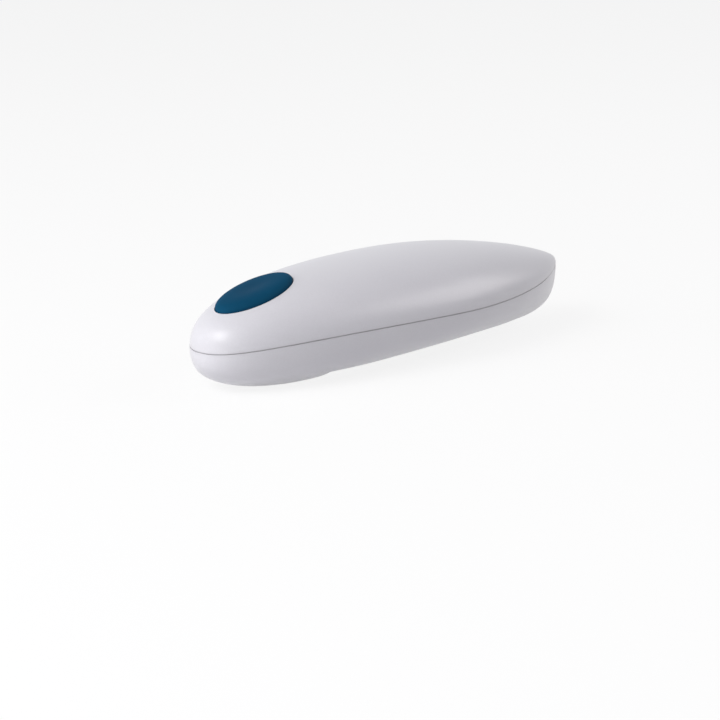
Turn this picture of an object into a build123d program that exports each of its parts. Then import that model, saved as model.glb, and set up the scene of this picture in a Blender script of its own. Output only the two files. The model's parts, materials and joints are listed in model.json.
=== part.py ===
from build123d import *

import math
import os

os.makedirs("parts", exist_ok=True)

# A battery can opener that its own cutting pair holds up, started with one button. Millimetres.
# +X runs from the nose (button end) to the tail (battery end), +Z is up,
# and z = 0 is the underside of the nose.

# Case, driving sizes
body_length = 195.0
body_width = 70.4
crown_height = 20.8
parting_height = 20.0
parting_nose_drop = 4.6
parting_tail_rise = 5.5
underside_height = 4.4
wall = 2.0
parting_gap = 0.35
groove_depth = 0.8

# Shape laws of the case along its length, from -1 at the nose to 1 at the tail
widest_place = 0.10
nose_keel_place = -0.60
tail_keel_place = 0.20
nose_keel_height = -0.7
tail_keel_height = 4.1
upper_side_pull = 0.60
upper_top_pull = 0.58
lower_side_pull = 0.66
lower_bottom_pull = 0.64
nose_width_curve = (1.8, 2.3)
tail_width_curve = (1.7, 1.5)
nose_crown_curve = (2.0, 3.3)
tail_crown_curve = (2.2, 1.15)
nose_keel_curve = (2.5, 3.0)
tail_keel_curve = (8.0, 3.0)
section_places = (-0.9985, -0.985, -0.95, -0.88, -0.77, -0.62, -0.45, -0.27, -0.09,
                  0.10, 0.28, 0.45, 0.61, 0.75, 0.86, 0.94, 0.98, 0.9985)

# Rolled seam that the cutting pair grips
can_axis_x = 1.8
seam_radius = 38.0
seam_thickness = 1.3
step_radius = 58.0

# Cutting pair
drive_wheel_radius = 6.0
drive_wheel_teeth = 28
drive_wheel_low = 1.7
cutter_radius = 7.0
cutter_throw = 2.2
nip_gap = 0.8
closing_teeth = 20

# Gear train, driver and driven tooth counts
bevel_module = 0.5
first_module = 0.5
second_module = 0.6
third_module = 0.8
pinion_teeth = 10
bevel_teeth = 36
second_teeth = 44
third_teeth = 36
final_teeth = 32
pinion_shift = 0.4
backlash_share = 0.18
tip_trim = 0.15
pressure_angle = math.radians(20)
third_gear_angle = -100.0

# Motor, a flat-sided can of the common 130 size
motor_width = 20.0
motor_thickness = 15.0
motor_can_length = 20.0
motor_cap_length = 5.0
motor_face_x = -60.0
motor_axis_z = 11.7

# Spindles and clearances
spindle_radius = 2.5
axle_radius = 1.0
running_fit = 0.05
press_fit = 0.02
screw_clearance = 0.1
gap = 0.3

# Button and switch, measured in the button's own tilted frame
button_x = -71.4
button_tilt = 14.0
button_half_length = 17.7
button_half_width = 10.2
button_gap = 0.35
button_travel = 2.0
button_proud = 2.0
button_skirt = 1.8
board_depth = 11.6
board_thickness = 1.2
switch_height = 4.2

# Two AA cells
cell_radius = 7.25
cell_length = 50.5
cell_spacing = 15.4
cell_nub_radius = 2.7
cell_nub_height = 1.3
cell_edge = 0.6
bay_nose_x = 9.0
spring_room = 5.0
contact_thickness = 0.4

# Battery cover
cover_nose_x = 7.5
cover_tail_x = 67.5
cover_half_width = 16.5
cover_gap = 0.3
cover_corner = 4.0
thumb_slot_length = 12.0
thumb_slot_width = 4.0
thumb_slot_depth = 0.8
thumb_slot_inset = 5.0

# Screws
screw_seat = 13.0
case_screw_places = ((-60.0, 20.0), (-60.0, -20.0), (2.0, 27.0), (2.0, -27.0), (82.0, 0.0))


# Shape laws: each pair of curve numbers is the power of the fall and the root of its shoulder

def swell(place, power, root):
    return (1 - min(abs(place), 1) ** power) ** (1 / root)


def width_law(place):
    if place < widest_place:
        return swell((widest_place - place) / (1 + widest_place), *nose_width_curve)
    return swell((place - widest_place) / (1 - widest_place), *tail_width_curve)


def crown_law(place):
    if place < 0:
        return swell(place, *nose_crown_curve)
    return swell(place, *tail_crown_curve)


def keel_law(place):
    if place < nose_keel_place:
        return swell((nose_keel_place - place) / (1 + nose_keel_place), *nose_keel_curve)
    if place > tail_keel_place:
        return swell((place - tail_keel_place) / (1 - tail_keel_place), *tail_keel_curve)
    return 1.0


def keel_height(place):
    share = (place - nose_keel_place) / (tail_keel_place - nose_keel_place)
    return nose_keel_height + (tail_keel_height - nose_keel_height) * min(max(share, 0), 1)


def parting_at(place):
    bend = parting_nose_drop if place < 0 else parting_tail_rise
    return parting_height + bend * place ** 3


def crown_at(x):
    place = x / (body_length / 2)
    return parting_at(place) + crown_height * crown_law(place)


# The closed case form, with every outside size drawn in by the inset
def case_form(inset):
    half_length = body_length / 2 - inset
    with BuildPart() as form:
        for place in section_places:
            half_width = (body_width / 2 - inset) * width_law(place)
            middle = parting_at(place)
            rise = (crown_height - inset) * crown_law(place)
            drop = (middle - keel_height(place) - inset) * keel_law(place)
            side = Plane((place * half_length, 0, 0), x_dir=(0, 1, 0), z_dir=(1, 0, 0))
            with BuildSketch(side):
                with BuildLine():
                    Bezier((half_width, middle), (half_width, middle + upper_side_pull * rise),
                           (upper_top_pull * half_width, middle + rise), (0, middle + rise))
                    Bezier((0, middle + rise), (-upper_top_pull * half_width, middle + rise),
                           (-half_width, middle + upper_side_pull * rise), (-half_width, middle))
                    Bezier((-half_width, middle), (-half_width, middle - lower_side_pull * drop),
                           (-lower_bottom_pull * half_width, middle - drop), (0, middle - drop))
                    Bezier((0, middle - drop), (lower_bottom_pull * half_width, middle - drop),
                           (half_width, middle - lower_side_pull * drop), (half_width, middle))
                make_face()
        loft()
    return form.part


# Space below the case: a flat foot at the nose, and a step up to the flat underside
def can_space(inset):
    with BuildPart() as space:
        with BuildSketch(Plane.XY.offset(underside_height + inset)):
            with Locations((can_axis_x, 0)):
                Circle(step_radius + inset)
            with Locations((can_axis_x + body_length / 2, 0)):
                Rectangle(body_length, 2 * body_width)
        extrude(amount=-underside_height - inset - wall)
        with BuildSketch(Plane.XY.offset(inset)):
            Rectangle(2 * body_length, 2 * body_width)
        extrude(amount=-2 * wall)
    return space.part


# Everything below the parting line, raised by a given height
def below_parting(raise_by):
    end = body_length / 2 + wall
    with BuildPart() as below:
        with BuildSketch(Plane.XZ):
            with BuildLine():
                knots = [parting_at(place / 5) + raise_by for place in range(-5, 6)]
                places = [place / 5 * body_length / 2 for place in range(-5, 6)]
                Spline(*zip(places, knots))
                Polyline((places[-1], knots[-1]), (end, knots[-1]), (end, -end), (-end, -end),
                         (-end, knots[0]), (places[0], knots[0]))
            make_face()
        extrude(amount=body_width, both=True)
    return below.part


def write(builder, name):
    builder.part.label = name
    export_step(builder.part, f"parts/{name}.step")


# One tooth-by-tooth outline with a tooth, or a gap, on the first axis
def gear_points(teeth, module, shift, gap_first=False, flank_steps=2):
    pitch = module * teeth / 2
    base = pitch * math.cos(pressure_angle)
    tip = pitch + module * (1 + shift - (tip_trim if shift > 0 else 0))
    root = pitch - module * (1.25 - shift)
    half = (math.pi / 2 + 2 * shift * math.tan(pressure_angle) - backlash_share) / teeth
    roll = math.tan(pressure_angle) - pressure_angle
    radii = [root + (tip - root) * step / flank_steps for step in range(flank_steps + 1)]
    points = []
    for tooth in range(teeth):
        middle = 2 * math.pi * (tooth + (0.5 if gap_first else 0)) / teeth
        flank = []
        for radius in radii:
            slope = math.acos(min(1, base / radius))
            flank.append((radius, half + roll - math.tan(slope) + slope))
        turns = [(radius, middle - angle) for radius, angle in flank]
        turns += [(radius, middle + angle) for radius, angle in reversed(flank)]
        points += [(radius * math.cos(turn), radius * math.sin(turn)) for radius, turn in turns]
    return points


# Plane at a height over a place, with its first axis towards another place
def facing(place, height, towards):
    reach = (towards[0] - place[0], towards[1] - place[1], 0)
    return Plane((place[0], place[1], height), x_dir=reach, z_dir=(0, 0, 1))


# Round coil line along +Z, joined from pairs of tangent arcs every quarter turn
def coil_points(start_radius, end_radius, height, turns, steps_per_turn=4):
    points = []
    steps = int(turns * steps_per_turn)
    for step in range(steps + 1):
        share = step / steps
        radius = start_radius + (end_radius - start_radius) * share
        turn = 2 * math.pi * turns * share
        place = Vector(radius * math.cos(turn), radius * math.sin(turn), height * share)
        shrink = (end_radius - start_radius) / (2 * math.pi * turns)
        along = Vector(shrink * math.cos(turn) - radius * math.sin(turn),
                       shrink * math.sin(turn) + radius * math.cos(turn),
                       height / (2 * math.pi * turns))
        points.append((place, along.normalized()))
    return points


def coil_line(points):
    for (start, start_way), (end, end_way) in zip(points, points[1:]):
        chord = start - end
        lean = chord.dot(start_way + end_way)
        bend = 2 * (start_way.dot(end_way) - 1)
        reach = (-2 * lean - math.sqrt(4 * lean ** 2 - 4 * bend * chord.dot(chord))) / (2 * bend)
        first = start + start_way * reach
        last = end - end_way * reach
        joint = (first + last) * 0.5
        TangentArc(start, joint, tangent=start_way)
        TangentArc(joint, end, tangent=last - joint)


# Places worked out from the driving sizes
floor_top = underside_height + wall
drive_place = (can_axis_x - (seam_radius - seam_thickness) + drive_wheel_radius, 0)
closing_distance = drive_wheel_radius + nip_gap + cutter_radius + cutter_throw
cutter_place = (drive_place[0] - closing_distance, 0)
closing_module = closing_distance / closing_teeth

bevel_radius = bevel_module * bevel_teeth / 2
bevel_pinion_radius = bevel_module * pinion_teeth / 2
pinion_face_x = motor_face_x + 3.0
first_place = (pinion_face_x + bevel_radius, 0)
first_distance = first_module * (pinion_teeth + second_teeth) / 2
second_distance = second_module * (pinion_teeth + third_teeth) / 2
third_distance = third_module * (pinion_teeth + final_teeth) / 2
third_turn = math.radians(third_gear_angle)
third_place = (drive_place[0] + third_distance * math.cos(third_turn),
               third_distance * math.sin(third_turn))
span_x = third_place[0] - first_place[0]
span_y = third_place[1] - first_place[1]
span = math.hypot(span_x, span_y)
along_span = (first_distance ** 2 - second_distance ** 2 + span ** 2) / (2 * span)
off_span = math.sqrt(first_distance ** 2 - along_span ** 2)
second_place = (first_place[0] + (along_span * span_x + off_span * span_y) / span,
                first_place[1] + (along_span * span_y - off_span * span_x) / span)

# Heights through the gearbox, from the floor up
plate_thickness = 1.0
plate_end_radius = 9.4
plate_ear_radius = 3.6
plate_low = underside_height - 0.2
bush_flange = 0.4
closing_low = floor_top + bush_flange + 0.1
closing_face = 2.9
collar_low = closing_low + closing_face + 0.65
collar_height = 0.55
base_low = 11.6
base_thickness = 1.4
base_top = base_low + base_thickness
bevel_back = motor_axis_z + 4.9
second_low = bevel_back + 0.3
second_face = 3.0
third_low = second_low + second_face + 0.5
third_face = 3.0
final_low = third_low + third_face + 0.5
final_face = 4.5
top_low = final_low + final_face + 1.2
top_thickness = 1.4
top_high = top_low + top_thickness
hub_radius = 1.9
bore_radius = axle_radius + running_fit

button_slope = math.radians(button_tilt)
button_up = (-math.sin(button_slope), 0, math.cos(button_slope))
button_along = (math.cos(button_slope), 0, math.sin(button_slope))
button_top = (button_x, 0, crown_at(button_x))


# Plane square to the button's stroke, at a depth below the crown
def button_plane(depth):
    origin = tuple(c - depth * n for c, n in zip(button_top, button_up))
    return Plane(origin, x_dir=button_along, z_dir=button_up)


board_post_places = ((-6.5, 16.3), (-6.5, -16.3), (13.0, 13.0), (13.0, -13.0))
board_post_radius = 2.2
board_screw_grip = 4.0

# Case forms
outer_form = case_form(0)
inner_form = case_form(wall)
groove_form = case_form(groove_depth)
below_line = below_parting(0)
below_groove = below_parting(parting_gap)
outer_space = can_space(0)
inner_space = can_space(wall)

with BuildPart() as outer_body:
    add(outer_form)
    add(outer_space, mode=Mode.SUBTRACT)

with BuildPart() as inner_body:
    add(inner_form)
    add(inner_space, mode=Mode.SUBTRACT)

bay_tail_x = bay_nose_x + 2 * contact_thickness + spring_room + cell_length + 0.3
bay_half_width = cell_spacing / 2 + cell_radius + 0.6
cell_axis_z = floor_top + 1.2 + cell_radius
bay_wall = 1.4
bay_top = cell_axis_z + 3.5
hook_low = floor_top + 1.3
hook_height = 1.0
hook_reach = 1.7
hook_width = 6.0
hook_place_y = 9.0
hook_swing_top = floor_top + 3.2
magnet_place = (-8.0, 0)
magnet_radius = 6.0
magnet_low = 2.4
magnet_height = 3.0
plate_middle_x = (drive_place[0] + cutter_place[0]) / 2
plate_screw_places = ((plate_middle_x, 7.4), (plate_middle_x, -7.4))
base_screw_places = ((-52.0, 17.0), (-52.0, -17.0), (-15.0, 16.0), (-15.0, -16.0))
base_post_radius = 3.0
spindle_bush_radius = 4.0
crank_bush_radius = 5.0
boss_radius = 4.0
screw_radius = 1.4
screw_head_radius = 2.6
screw_head_height = 1.8
screw_length = 13.5
cross_length = 3.2
cross_width = 0.7
cross_depth = 0.9
small_screw_radius = 0.9
small_head_radius = 1.8
small_head_height = 1.3
small_cross_length = 2.4
small_cross_width = 0.5
plate_head_height = 0.8
plate_cross_depth = 0.4

# Hollow of the lower shell, left standing at its bosses, posts, bay walls and motor cradle
with BuildPart() as lower_hollow:
    add(inner_body.part)
    with BuildSketch(Plane.XY):
        with Locations(*case_screw_places):
            Circle(boss_radius)
    extrude(amount=2 * body_width, mode=Mode.SUBTRACT)
    with BuildSketch(Plane.XY):
        with Locations(*base_screw_places):
            Circle(base_post_radius)
    extrude(amount=base_low, mode=Mode.SUBTRACT)
    with BuildSketch(Plane.XY):
        with Locations(((cover_nose_x + cover_tail_x) / 2, 0)):
            Rectangle(cover_tail_x - cover_nose_x + 2 * (cover_gap + bay_wall),
                      2 * (cover_half_width + cover_gap + bay_wall))
        with Locations(((bay_nose_x + bay_tail_x) / 2, 0)):
            Rectangle(bay_tail_x - bay_nose_x, 2 * bay_half_width, mode=Mode.SUBTRACT)
    extrude(amount=bay_top, mode=Mode.SUBTRACT)
    with BuildSketch(Plane.XY):
        with Locations((motor_face_x - motor_can_length + 2, 0)):
            Rectangle(2.0, 12.0)
    extrude(amount=motor_axis_z - motor_thickness / 2 - running_fit, mode=Mode.SUBTRACT)

with BuildPart() as lower_case:
    add(outer_body.part)
    add(below_line, mode=Mode.INTERSECT)
    add(lower_hollow.part, mode=Mode.SUBTRACT)
    with BuildSketch(Plane.XY.offset(magnet_low + 0.2)):
        with Locations(magnet_place):
            Circle(magnet_radius + 1.6)
    extrude(amount=floor_top - magnet_low + 0.4)
    with BuildSketch(Plane.XY.offset(magnet_low - 1)):
        with Locations(magnet_place):
            Circle(magnet_radius + press_fit)
    extrude(amount=magnet_height + 1, mode=Mode.SUBTRACT)
    with BuildSketch(Plane.XY):
        with Locations(drive_place):
            Circle(spindle_bush_radius + press_fit)
        with Locations(cutter_place):
            Circle(crank_bush_radius + press_fit)
    extrude(amount=floor_top + 1, mode=Mode.SUBTRACT)
    with BuildSketch(Plane.XY):
        with Locations(drive_place, cutter_place):
            Circle(plate_end_radius + press_fit)
        with Locations(*plate_screw_places):
            Circle(plate_ear_radius + press_fit)
        make_hull()
    extrude(amount=plate_low + plate_thickness, mode=Mode.SUBTRACT)
    with BuildSketch(Plane.XY):
        with Locations(*plate_screw_places):
            Circle(small_screw_radius)
    extrude(amount=floor_top + 1, mode=Mode.SUBTRACT)
    with BuildSketch(Plane.XY.offset(base_low - 4)):
        with Locations(*base_screw_places):
            Circle(small_screw_radius)
    extrude(amount=5, mode=Mode.SUBTRACT)
    with BuildSketch(Plane.XY):
        with Locations(*case_screw_places):
            Circle(screw_head_radius + gap)
    extrude(amount=screw_seat, mode=Mode.SUBTRACT)
    with BuildSketch(Plane.XY):
        with Locations(*case_screw_places):
            Circle(screw_radius + screw_clearance)
    extrude(amount=body_width, mode=Mode.SUBTRACT)
    with BuildSketch(Plane.XY):
        with Locations(((cover_nose_x + cover_tail_x) / 2, 0)):
            RectangleRounded(cover_tail_x - cover_nose_x + 2 * cover_gap,
                             2 * (cover_half_width + cover_gap), cover_corner)
    extrude(amount=hook_swing_top, mode=Mode.SUBTRACT)
    with BuildSketch(Plane.XY.offset(hook_low - gap)):
        with Locations((cover_tail_x, hook_place_y), (cover_tail_x, -hook_place_y)):
            Rectangle(2 * hook_reach + 2 * gap, hook_width + 2 * gap)
    extrude(amount=hook_swing_top - hook_low + gap, mode=Mode.SUBTRACT)

write(lower_case, "lower_case")

# Hollow of the upper shell, left standing at its screw bosses and board posts
with BuildPart() as upper_hollow:
    add(inner_form)
    with BuildSketch(Plane.XY):
        with Locations(*case_screw_places):
            Circle(boss_radius - 0.6)
    extrude(amount=2 * body_width, mode=Mode.SUBTRACT)
    with BuildSketch(button_plane(board_depth)):
        with Locations(*board_post_places):
            Circle(board_post_radius)
    extrude(amount=board_depth + 4, mode=Mode.SUBTRACT)

with BuildPart() as shadow_groove:
    add(below_groove)
    add(below_line, mode=Mode.SUBTRACT)
    add(groove_form, mode=Mode.SUBTRACT)

with BuildPart() as upper_case:
    add(outer_form)
    add(below_line, mode=Mode.SUBTRACT)
    add(upper_hollow.part, mode=Mode.SUBTRACT)
    add(shadow_groove.part, mode=Mode.SUBTRACT)
    with BuildSketch(button_plane(board_depth / 2)):
        Ellipse(button_half_length + button_gap, button_half_width + button_gap)
    extrude(amount=body_width / 2, mode=Mode.SUBTRACT)
    with BuildSketch(Plane.XY):
        with Locations(*case_screw_places):
            Circle(screw_radius)
    extrude(amount=screw_seat + screw_length + 0.5, mode=Mode.SUBTRACT)
    with BuildSketch(button_plane(board_depth + 1)):
        with Locations(*board_post_places):
            Circle(small_screw_radius)
    extrude(amount=board_screw_grip + 1.2, mode=Mode.SUBTRACT)

write(upper_case, "upper_case")

# Button and switch
button_lift = tuple(button_proud * n for n in button_up)
raised_outer = Pos(*button_lift) * outer_form
raised_inner = Pos(*button_lift) * inner_form
skirt_depth = 6.0
dish_radius = 60.0
dish_depth = 0.6
dish_middle = tuple(c + (button_proud + dish_radius - dish_depth) * n
                    for c, n in zip(button_top, button_up))
plunger_radius = 1.7
plunger_boss_radius = 2.0
plunger_boss_bite = 0.3
stop_tab_reach = 1.2
stop_tab_width = 8.0
stop_tab_height = 1.2
plunger_top = board_depth - switch_height - button_travel - 0.2
plunger_foot = board_depth - 0.5 - button_travel

with BuildPart() as button_hollow:
    with BuildSketch(button_plane(skirt_depth + 1)):
        Ellipse(button_half_length - button_skirt, button_half_width - button_skirt)
    extrude(amount=body_width / 2)
    add(raised_inner, mode=Mode.INTERSECT)

with BuildPart() as button_cap:
    with BuildSketch(button_plane(skirt_depth)):
        Ellipse(button_half_length, button_half_width)
    extrude(amount=body_width / 2)
    add(raised_outer, mode=Mode.INTERSECT)
    with Locations(dish_middle):
        Sphere(dish_radius, mode=Mode.SUBTRACT)
    add(button_hollow.part, mode=Mode.SUBTRACT)
    with BuildSketch(button_plane(plunger_top - 0.1)):
        Circle(plunger_boss_radius)
    extrude(amount=plunger_top + button_proud - wall + plunger_boss_bite)
    with BuildSketch(button_plane(skirt_depth - 0.4)):
        with Locations((-button_half_length, 0), (button_half_length, 0)):
            Rectangle(2 * stop_tab_reach, stop_tab_width)
    extrude(amount=stop_tab_height)

write(button_cap, "button_cap")

with BuildPart() as switch_body:
    with BuildSketch(button_plane(board_depth)):
        Rectangle(6.0, 6.0)
    extrude(amount=switch_height)
    with BuildSketch(button_plane(board_depth - 0.4)):
        Circle(plunger_radius + running_fit)
    extrude(amount=switch_height, mode=Mode.SUBTRACT)

write(switch_body, "switch_body")

with BuildPart() as switch_plunger:
    with BuildSketch(button_plane(plunger_foot)):
        Circle(plunger_radius)
    extrude(amount=plunger_foot - plunger_top)

write(switch_plunger, "switch_plunger")

with BuildPart() as circuit_board:
    with BuildSketch(button_plane(board_depth + board_thickness)):
        with Locations((-5.25, 0)):
            Rectangle(6.5, 36.0)
        with Locations((6.0, 0)):
            Rectangle(18.0, 30.8)
        with Locations(*board_post_places):
            Circle(small_screw_radius + screw_clearance, mode=Mode.SUBTRACT)
    extrude(amount=board_thickness)

write(circuit_board, "circuit_board")

with BuildPart() as board_screws:
    with BuildSketch(button_plane(board_depth + board_thickness + small_head_height)):
        with Locations(*board_post_places):
            Circle(small_head_radius)
    extrude(amount=small_head_height)
    with BuildSketch(button_plane(board_depth + board_thickness)):
        with Locations(*board_post_places):
            Circle(small_screw_radius - press_fit)
    extrude(amount=board_thickness + board_screw_grip)

write(board_screws, "board_screws")


# Coil of round wire standing on z = 0
def coil(start_radius, end_radius, height, turns, wire_radius):
    points = coil_points(start_radius, end_radius, height, turns)
    with BuildPart() as wound:
        with BuildLine() as path:
            coil_line(points)
        with BuildSketch(Plane(points[0][0], z_dir=points[0][1])):
            Circle(wire_radius)
        sweep(path=path.wire())
    print("coil gap", round(height / turns - 2 * wire_radius, 2))
    return wound.part


button_wire = 0.35
button_coil_radius = 5.2
button_coil_turns = 5
button_coil_room = 0.2
button_coil_low = board_depth - button_wire - 0.05
button_coil_high = wall - button_proud + button_wire + button_coil_room
button_coil = coil(button_coil_radius, button_coil_radius, button_coil_low - button_coil_high,
                   button_coil_turns, button_wire)
placed_button_coil = button_plane(button_coil_low).location * button_coil

with BuildPart() as button_spring:
    add(placed_button_coil)

write(button_spring, "button_spring")


# Motor, lying along the case in the nose
def along_x(x):
    return Plane((x, 0, motor_axis_z), x_dir=(0, 0, 1), z_dir=(1, 0, 0))


motor_rear_x = motor_face_x - motor_can_length
cap_rear_x = motor_rear_x - motor_cap_length
motor_screw_places = ((0, 7.0), (0, -7.0))
terminal_y = 5.0
motor_wall = 1.4
motor_boss_radius = 3.0

with BuildPart() as motor_can:
    with BuildSketch(along_x(motor_rear_x)):
        Circle(motor_width / 2)
        Rectangle(motor_thickness, motor_width, mode=Mode.INTERSECT)
    extrude(amount=motor_can_length)
    with BuildSketch(along_x(motor_face_x)):
        Circle(motor_boss_radius)
    extrude(amount=motor_wall)
    with BuildSketch(along_x(motor_rear_x)):
        Circle(bore_radius)
    extrude(amount=motor_can_length + motor_wall, mode=Mode.SUBTRACT)
    with BuildSketch(along_x(motor_face_x - 4)):
        with Locations(*motor_screw_places):
            Circle(small_screw_radius)
    extrude(amount=4, mode=Mode.SUBTRACT)

write(motor_can, "motor_can")

with BuildPart() as motor_end_cap:
    with BuildSketch(along_x(cap_rear_x)):
        Circle(motor_width / 2 - 0.6)
        Rectangle(motor_thickness - 3, motor_width, mode=Mode.INTERSECT)
    extrude(amount=motor_cap_length)
    with BuildSketch(along_x(motor_rear_x - 3)):
        Circle(bore_radius)
    extrude(amount=3, mode=Mode.SUBTRACT)

write(motor_end_cap, "motor_end_cap")

with BuildPart() as motor_terminals:
    with BuildSketch(along_x(cap_rear_x - 3)):
        with Locations((0, terminal_y), (0, -terminal_y)):
            Rectangle(2.2, 0.4)
    extrude(amount=3)

write(motor_terminals, "motor_terminals")

with BuildPart() as motor_screws:
    with BuildSketch(along_x(motor_face_x + motor_wall)):
        with Locations(*motor_screw_places):
            Circle(small_head_radius)
    extrude(amount=small_head_height)
    with BuildSketch(along_x(motor_face_x - 3.5)):
        with Locations(*motor_screw_places):
            Circle(small_screw_radius - press_fit)
    extrude(amount=3.5 + motor_wall)

write(motor_screws, "motor_screws")

cone_distance = math.hypot(bevel_radius, bevel_pinion_radius)
bevel_face = 2.2
shrink = (cone_distance - bevel_face) / cone_distance
pinion_end_x = first_place[0] - bevel_radius * shrink
pinion_hub = 1.2

with BuildPart() as motor_shaft:
    with BuildSketch(along_x(motor_rear_x - 2.5)):
        Circle(axle_radius)
    extrude(amount=pinion_end_x + 0.3 - motor_rear_x + 2.5)

write(motor_shaft, "motor_shaft")

with BuildPart() as motor_pinion:
    bevel_points = gear_points(pinion_teeth, bevel_module, pinion_shift, flank_steps=3)
    with BuildSketch(along_x(pinion_face_x)):
        Polygon(*bevel_points)
    with BuildSketch(along_x(pinion_end_x)):
        Polygon(*[(shrink * a, shrink * b) for a, b in bevel_points])
    loft(ruled=True)
    with BuildSketch(along_x(pinion_face_x - pinion_hub)):
        Circle(2.0)
    extrude(amount=pinion_hub)
    with BuildSketch(along_x(pinion_face_x - pinion_hub)):
        Circle(axle_radius + press_fit)
    extrude(amount=8, mode=Mode.SUBTRACT)

write(motor_pinion, "motor_pinion")

# Bevel gear, its teeth narrowing towards the point where the two axes cross
bevel_out = (bevel_radius / cone_distance, 0, bevel_pinion_radius / cone_distance)
tooth_up = bevel_module * (1.25 + pinion_shift) + 0.1
tooth_down = bevel_module * (1 - pinion_shift)
tooth_half = bevel_module * (math.pi / 4 - pinion_shift * math.tan(pressure_angle) - backlash_share / 2)
tooth_corners = []
for side, height in ((-1, tooth_up), (1, tooth_up), (1, -tooth_down), (-1, -tooth_down)):
    tooth_corners.append((side * (tooth_half + height * math.tan(pressure_angle)), height))


def bevel_plane(distance):
    origin = tuple(distance * c for c in bevel_out)
    return Plane(origin, x_dir=(0, 1, 0), z_dir=bevel_out)


with BuildPart() as bevel_tooth:
    with BuildSketch(bevel_plane(cone_distance - bevel_face)):
        Polygon(*[(shrink * a, shrink * b) for a, b in tooth_corners])
    with BuildSketch(bevel_plane(cone_distance)):
        Polygon(*tooth_corners)
    loft(ruled=True)

bevel_apex = Location((first_place[0], first_place[1], motor_axis_z))
bevel_tooth_set = []
for tooth in range(bevel_teeth):
    turned = Location((0, 0, 0), (0, 0, (tooth + 0.5) * 360 / bevel_teeth))
    bevel_tooth_set.append(bevel_apex * turned * bevel_tooth.part)

root_radius = bevel_radius - (tooth_up - 0.1) * bevel_out[2]
root_rise = bevel_pinion_radius + (tooth_up - 0.1) * bevel_out[0]
bevel_rim = [(bore_radius, 1.6), (3.2, 1.6), (3.2, 2.9), (6.2, 2.9),
             (root_radius * shrink, root_rise * shrink), (root_radius, root_rise),
             (bevel_radius, root_rise), (bevel_radius, bevel_back - motor_axis_z),
             (bore_radius, bevel_back - motor_axis_z)]

with BuildPart() as bevel_gear:
    with BuildSketch(Plane((first_place[0], first_place[1], motor_axis_z),
                           x_dir=(1, 0, 0), z_dir=(0, -1, 0))):
        Polygon(*bevel_rim)
    revolve(axis=Axis((first_place[0], first_place[1], 0), (0, 0, 1)))
    add(bevel_tooth_set)
    with BuildSketch(facing(first_place, bevel_back, second_place)):
        Polygon(*gear_points(pinion_teeth, first_module, pinion_shift, flank_steps=3))
    extrude(amount=second_low + second_face + 0.4 - bevel_back)
    with BuildSketch(Plane.XY.offset(bevel_back)):
        with Locations(first_place):
            Circle(hub_radius)
    extrude(amount=top_low - 0.2 - bevel_back)
    with BuildSketch(Plane.XY.offset(base_top)):
        with Locations(first_place):
            Circle(bore_radius)
    extrude(amount=top_low - base_top, mode=Mode.SUBTRACT)

write(bevel_gear, "bevel_gear")


# Two spur gears in one piece: a wheel, a pinion above it, and hubs to both plates
def compound(place, before, after, low, face, teeth, module, pinion_module, pinion_high):
    with BuildPart() as pair:
        with BuildSketch(facing(place, low, before)):
            Polygon(*gear_points(teeth, module, -pinion_shift, gap_first=True))
        extrude(amount=face)
        with BuildSketch(facing(place, low + face, after)):
            Polygon(*gear_points(pinion_teeth, pinion_module, pinion_shift, flank_steps=3))
        extrude(amount=pinion_high - low - face)
        with BuildSketch(Plane.XY.offset(base_top + 0.2)):
            with Locations(place):
                Circle(hub_radius)
        extrude(amount=top_low - base_top - 0.4)
        with BuildSketch(Plane.XY.offset(base_top)):
            with Locations(place):
                Circle(bore_radius)
        extrude(amount=top_low - base_top, mode=Mode.SUBTRACT)
    return pair


second_gear = compound(second_place, first_place, third_place, second_low, second_face,
                       second_teeth, first_module, second_module, third_low + third_face + 0.3)
write(second_gear, "second_gear")

third_gear = compound(third_place, second_place, drive_place, third_low, third_face,
                      third_teeth, second_module, third_module, final_low + final_face + 0.4)
write(third_gear, "third_gear")


def axle(place):
    with BuildPart() as pin:
        with BuildSketch(Plane.XY.offset(base_low)):
            with Locations(place):
                Circle(axle_radius)
        extrude(amount=top_high - base_low)
    return pin


bevel_axle = axle(first_place)
write(bevel_axle, "bevel_axle")
second_axle = axle(second_place)
write(second_axle, "second_axle")
third_axle = axle(third_place)
write(third_axle, "third_axle")

final_hub_radius = 5.0
final_hub_foot = 2.0
final_hub_height = final_face + final_hub_foot + 0.6

with BuildPart() as final_gear:
    with BuildSketch(facing(drive_place, final_low, third_place)):
        Polygon(*gear_points(final_teeth, third_module, -pinion_shift, gap_first=True))
    extrude(amount=final_face)
    with BuildSketch(Plane.XY.offset(final_low - final_hub_foot)):
        with Locations(drive_place):
            Circle(final_hub_radius)
    extrude(amount=final_hub_height)
    with BuildSketch(Plane.XY.offset(final_low - final_hub_foot)):
        with Locations(drive_place):
            Circle(spindle_radius + press_fit)
    extrude(amount=final_hub_height, mode=Mode.SUBTRACT)

write(final_gear, "final_gear")

# Drive spindle with its wheel, screw, bush and slipping clutch
wheel_high = plate_low - 0.1
wheel_seat = drive_wheel_low + 1.2
spindle_foot = 2.0
journal_radius = 1.8
drive_screw_radius = 1.0
drive_head_radius = 2.4
drive_head_room = 0.2
drive_slot_depth = 0.5
drive_tooth_depth = 0.55

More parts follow.
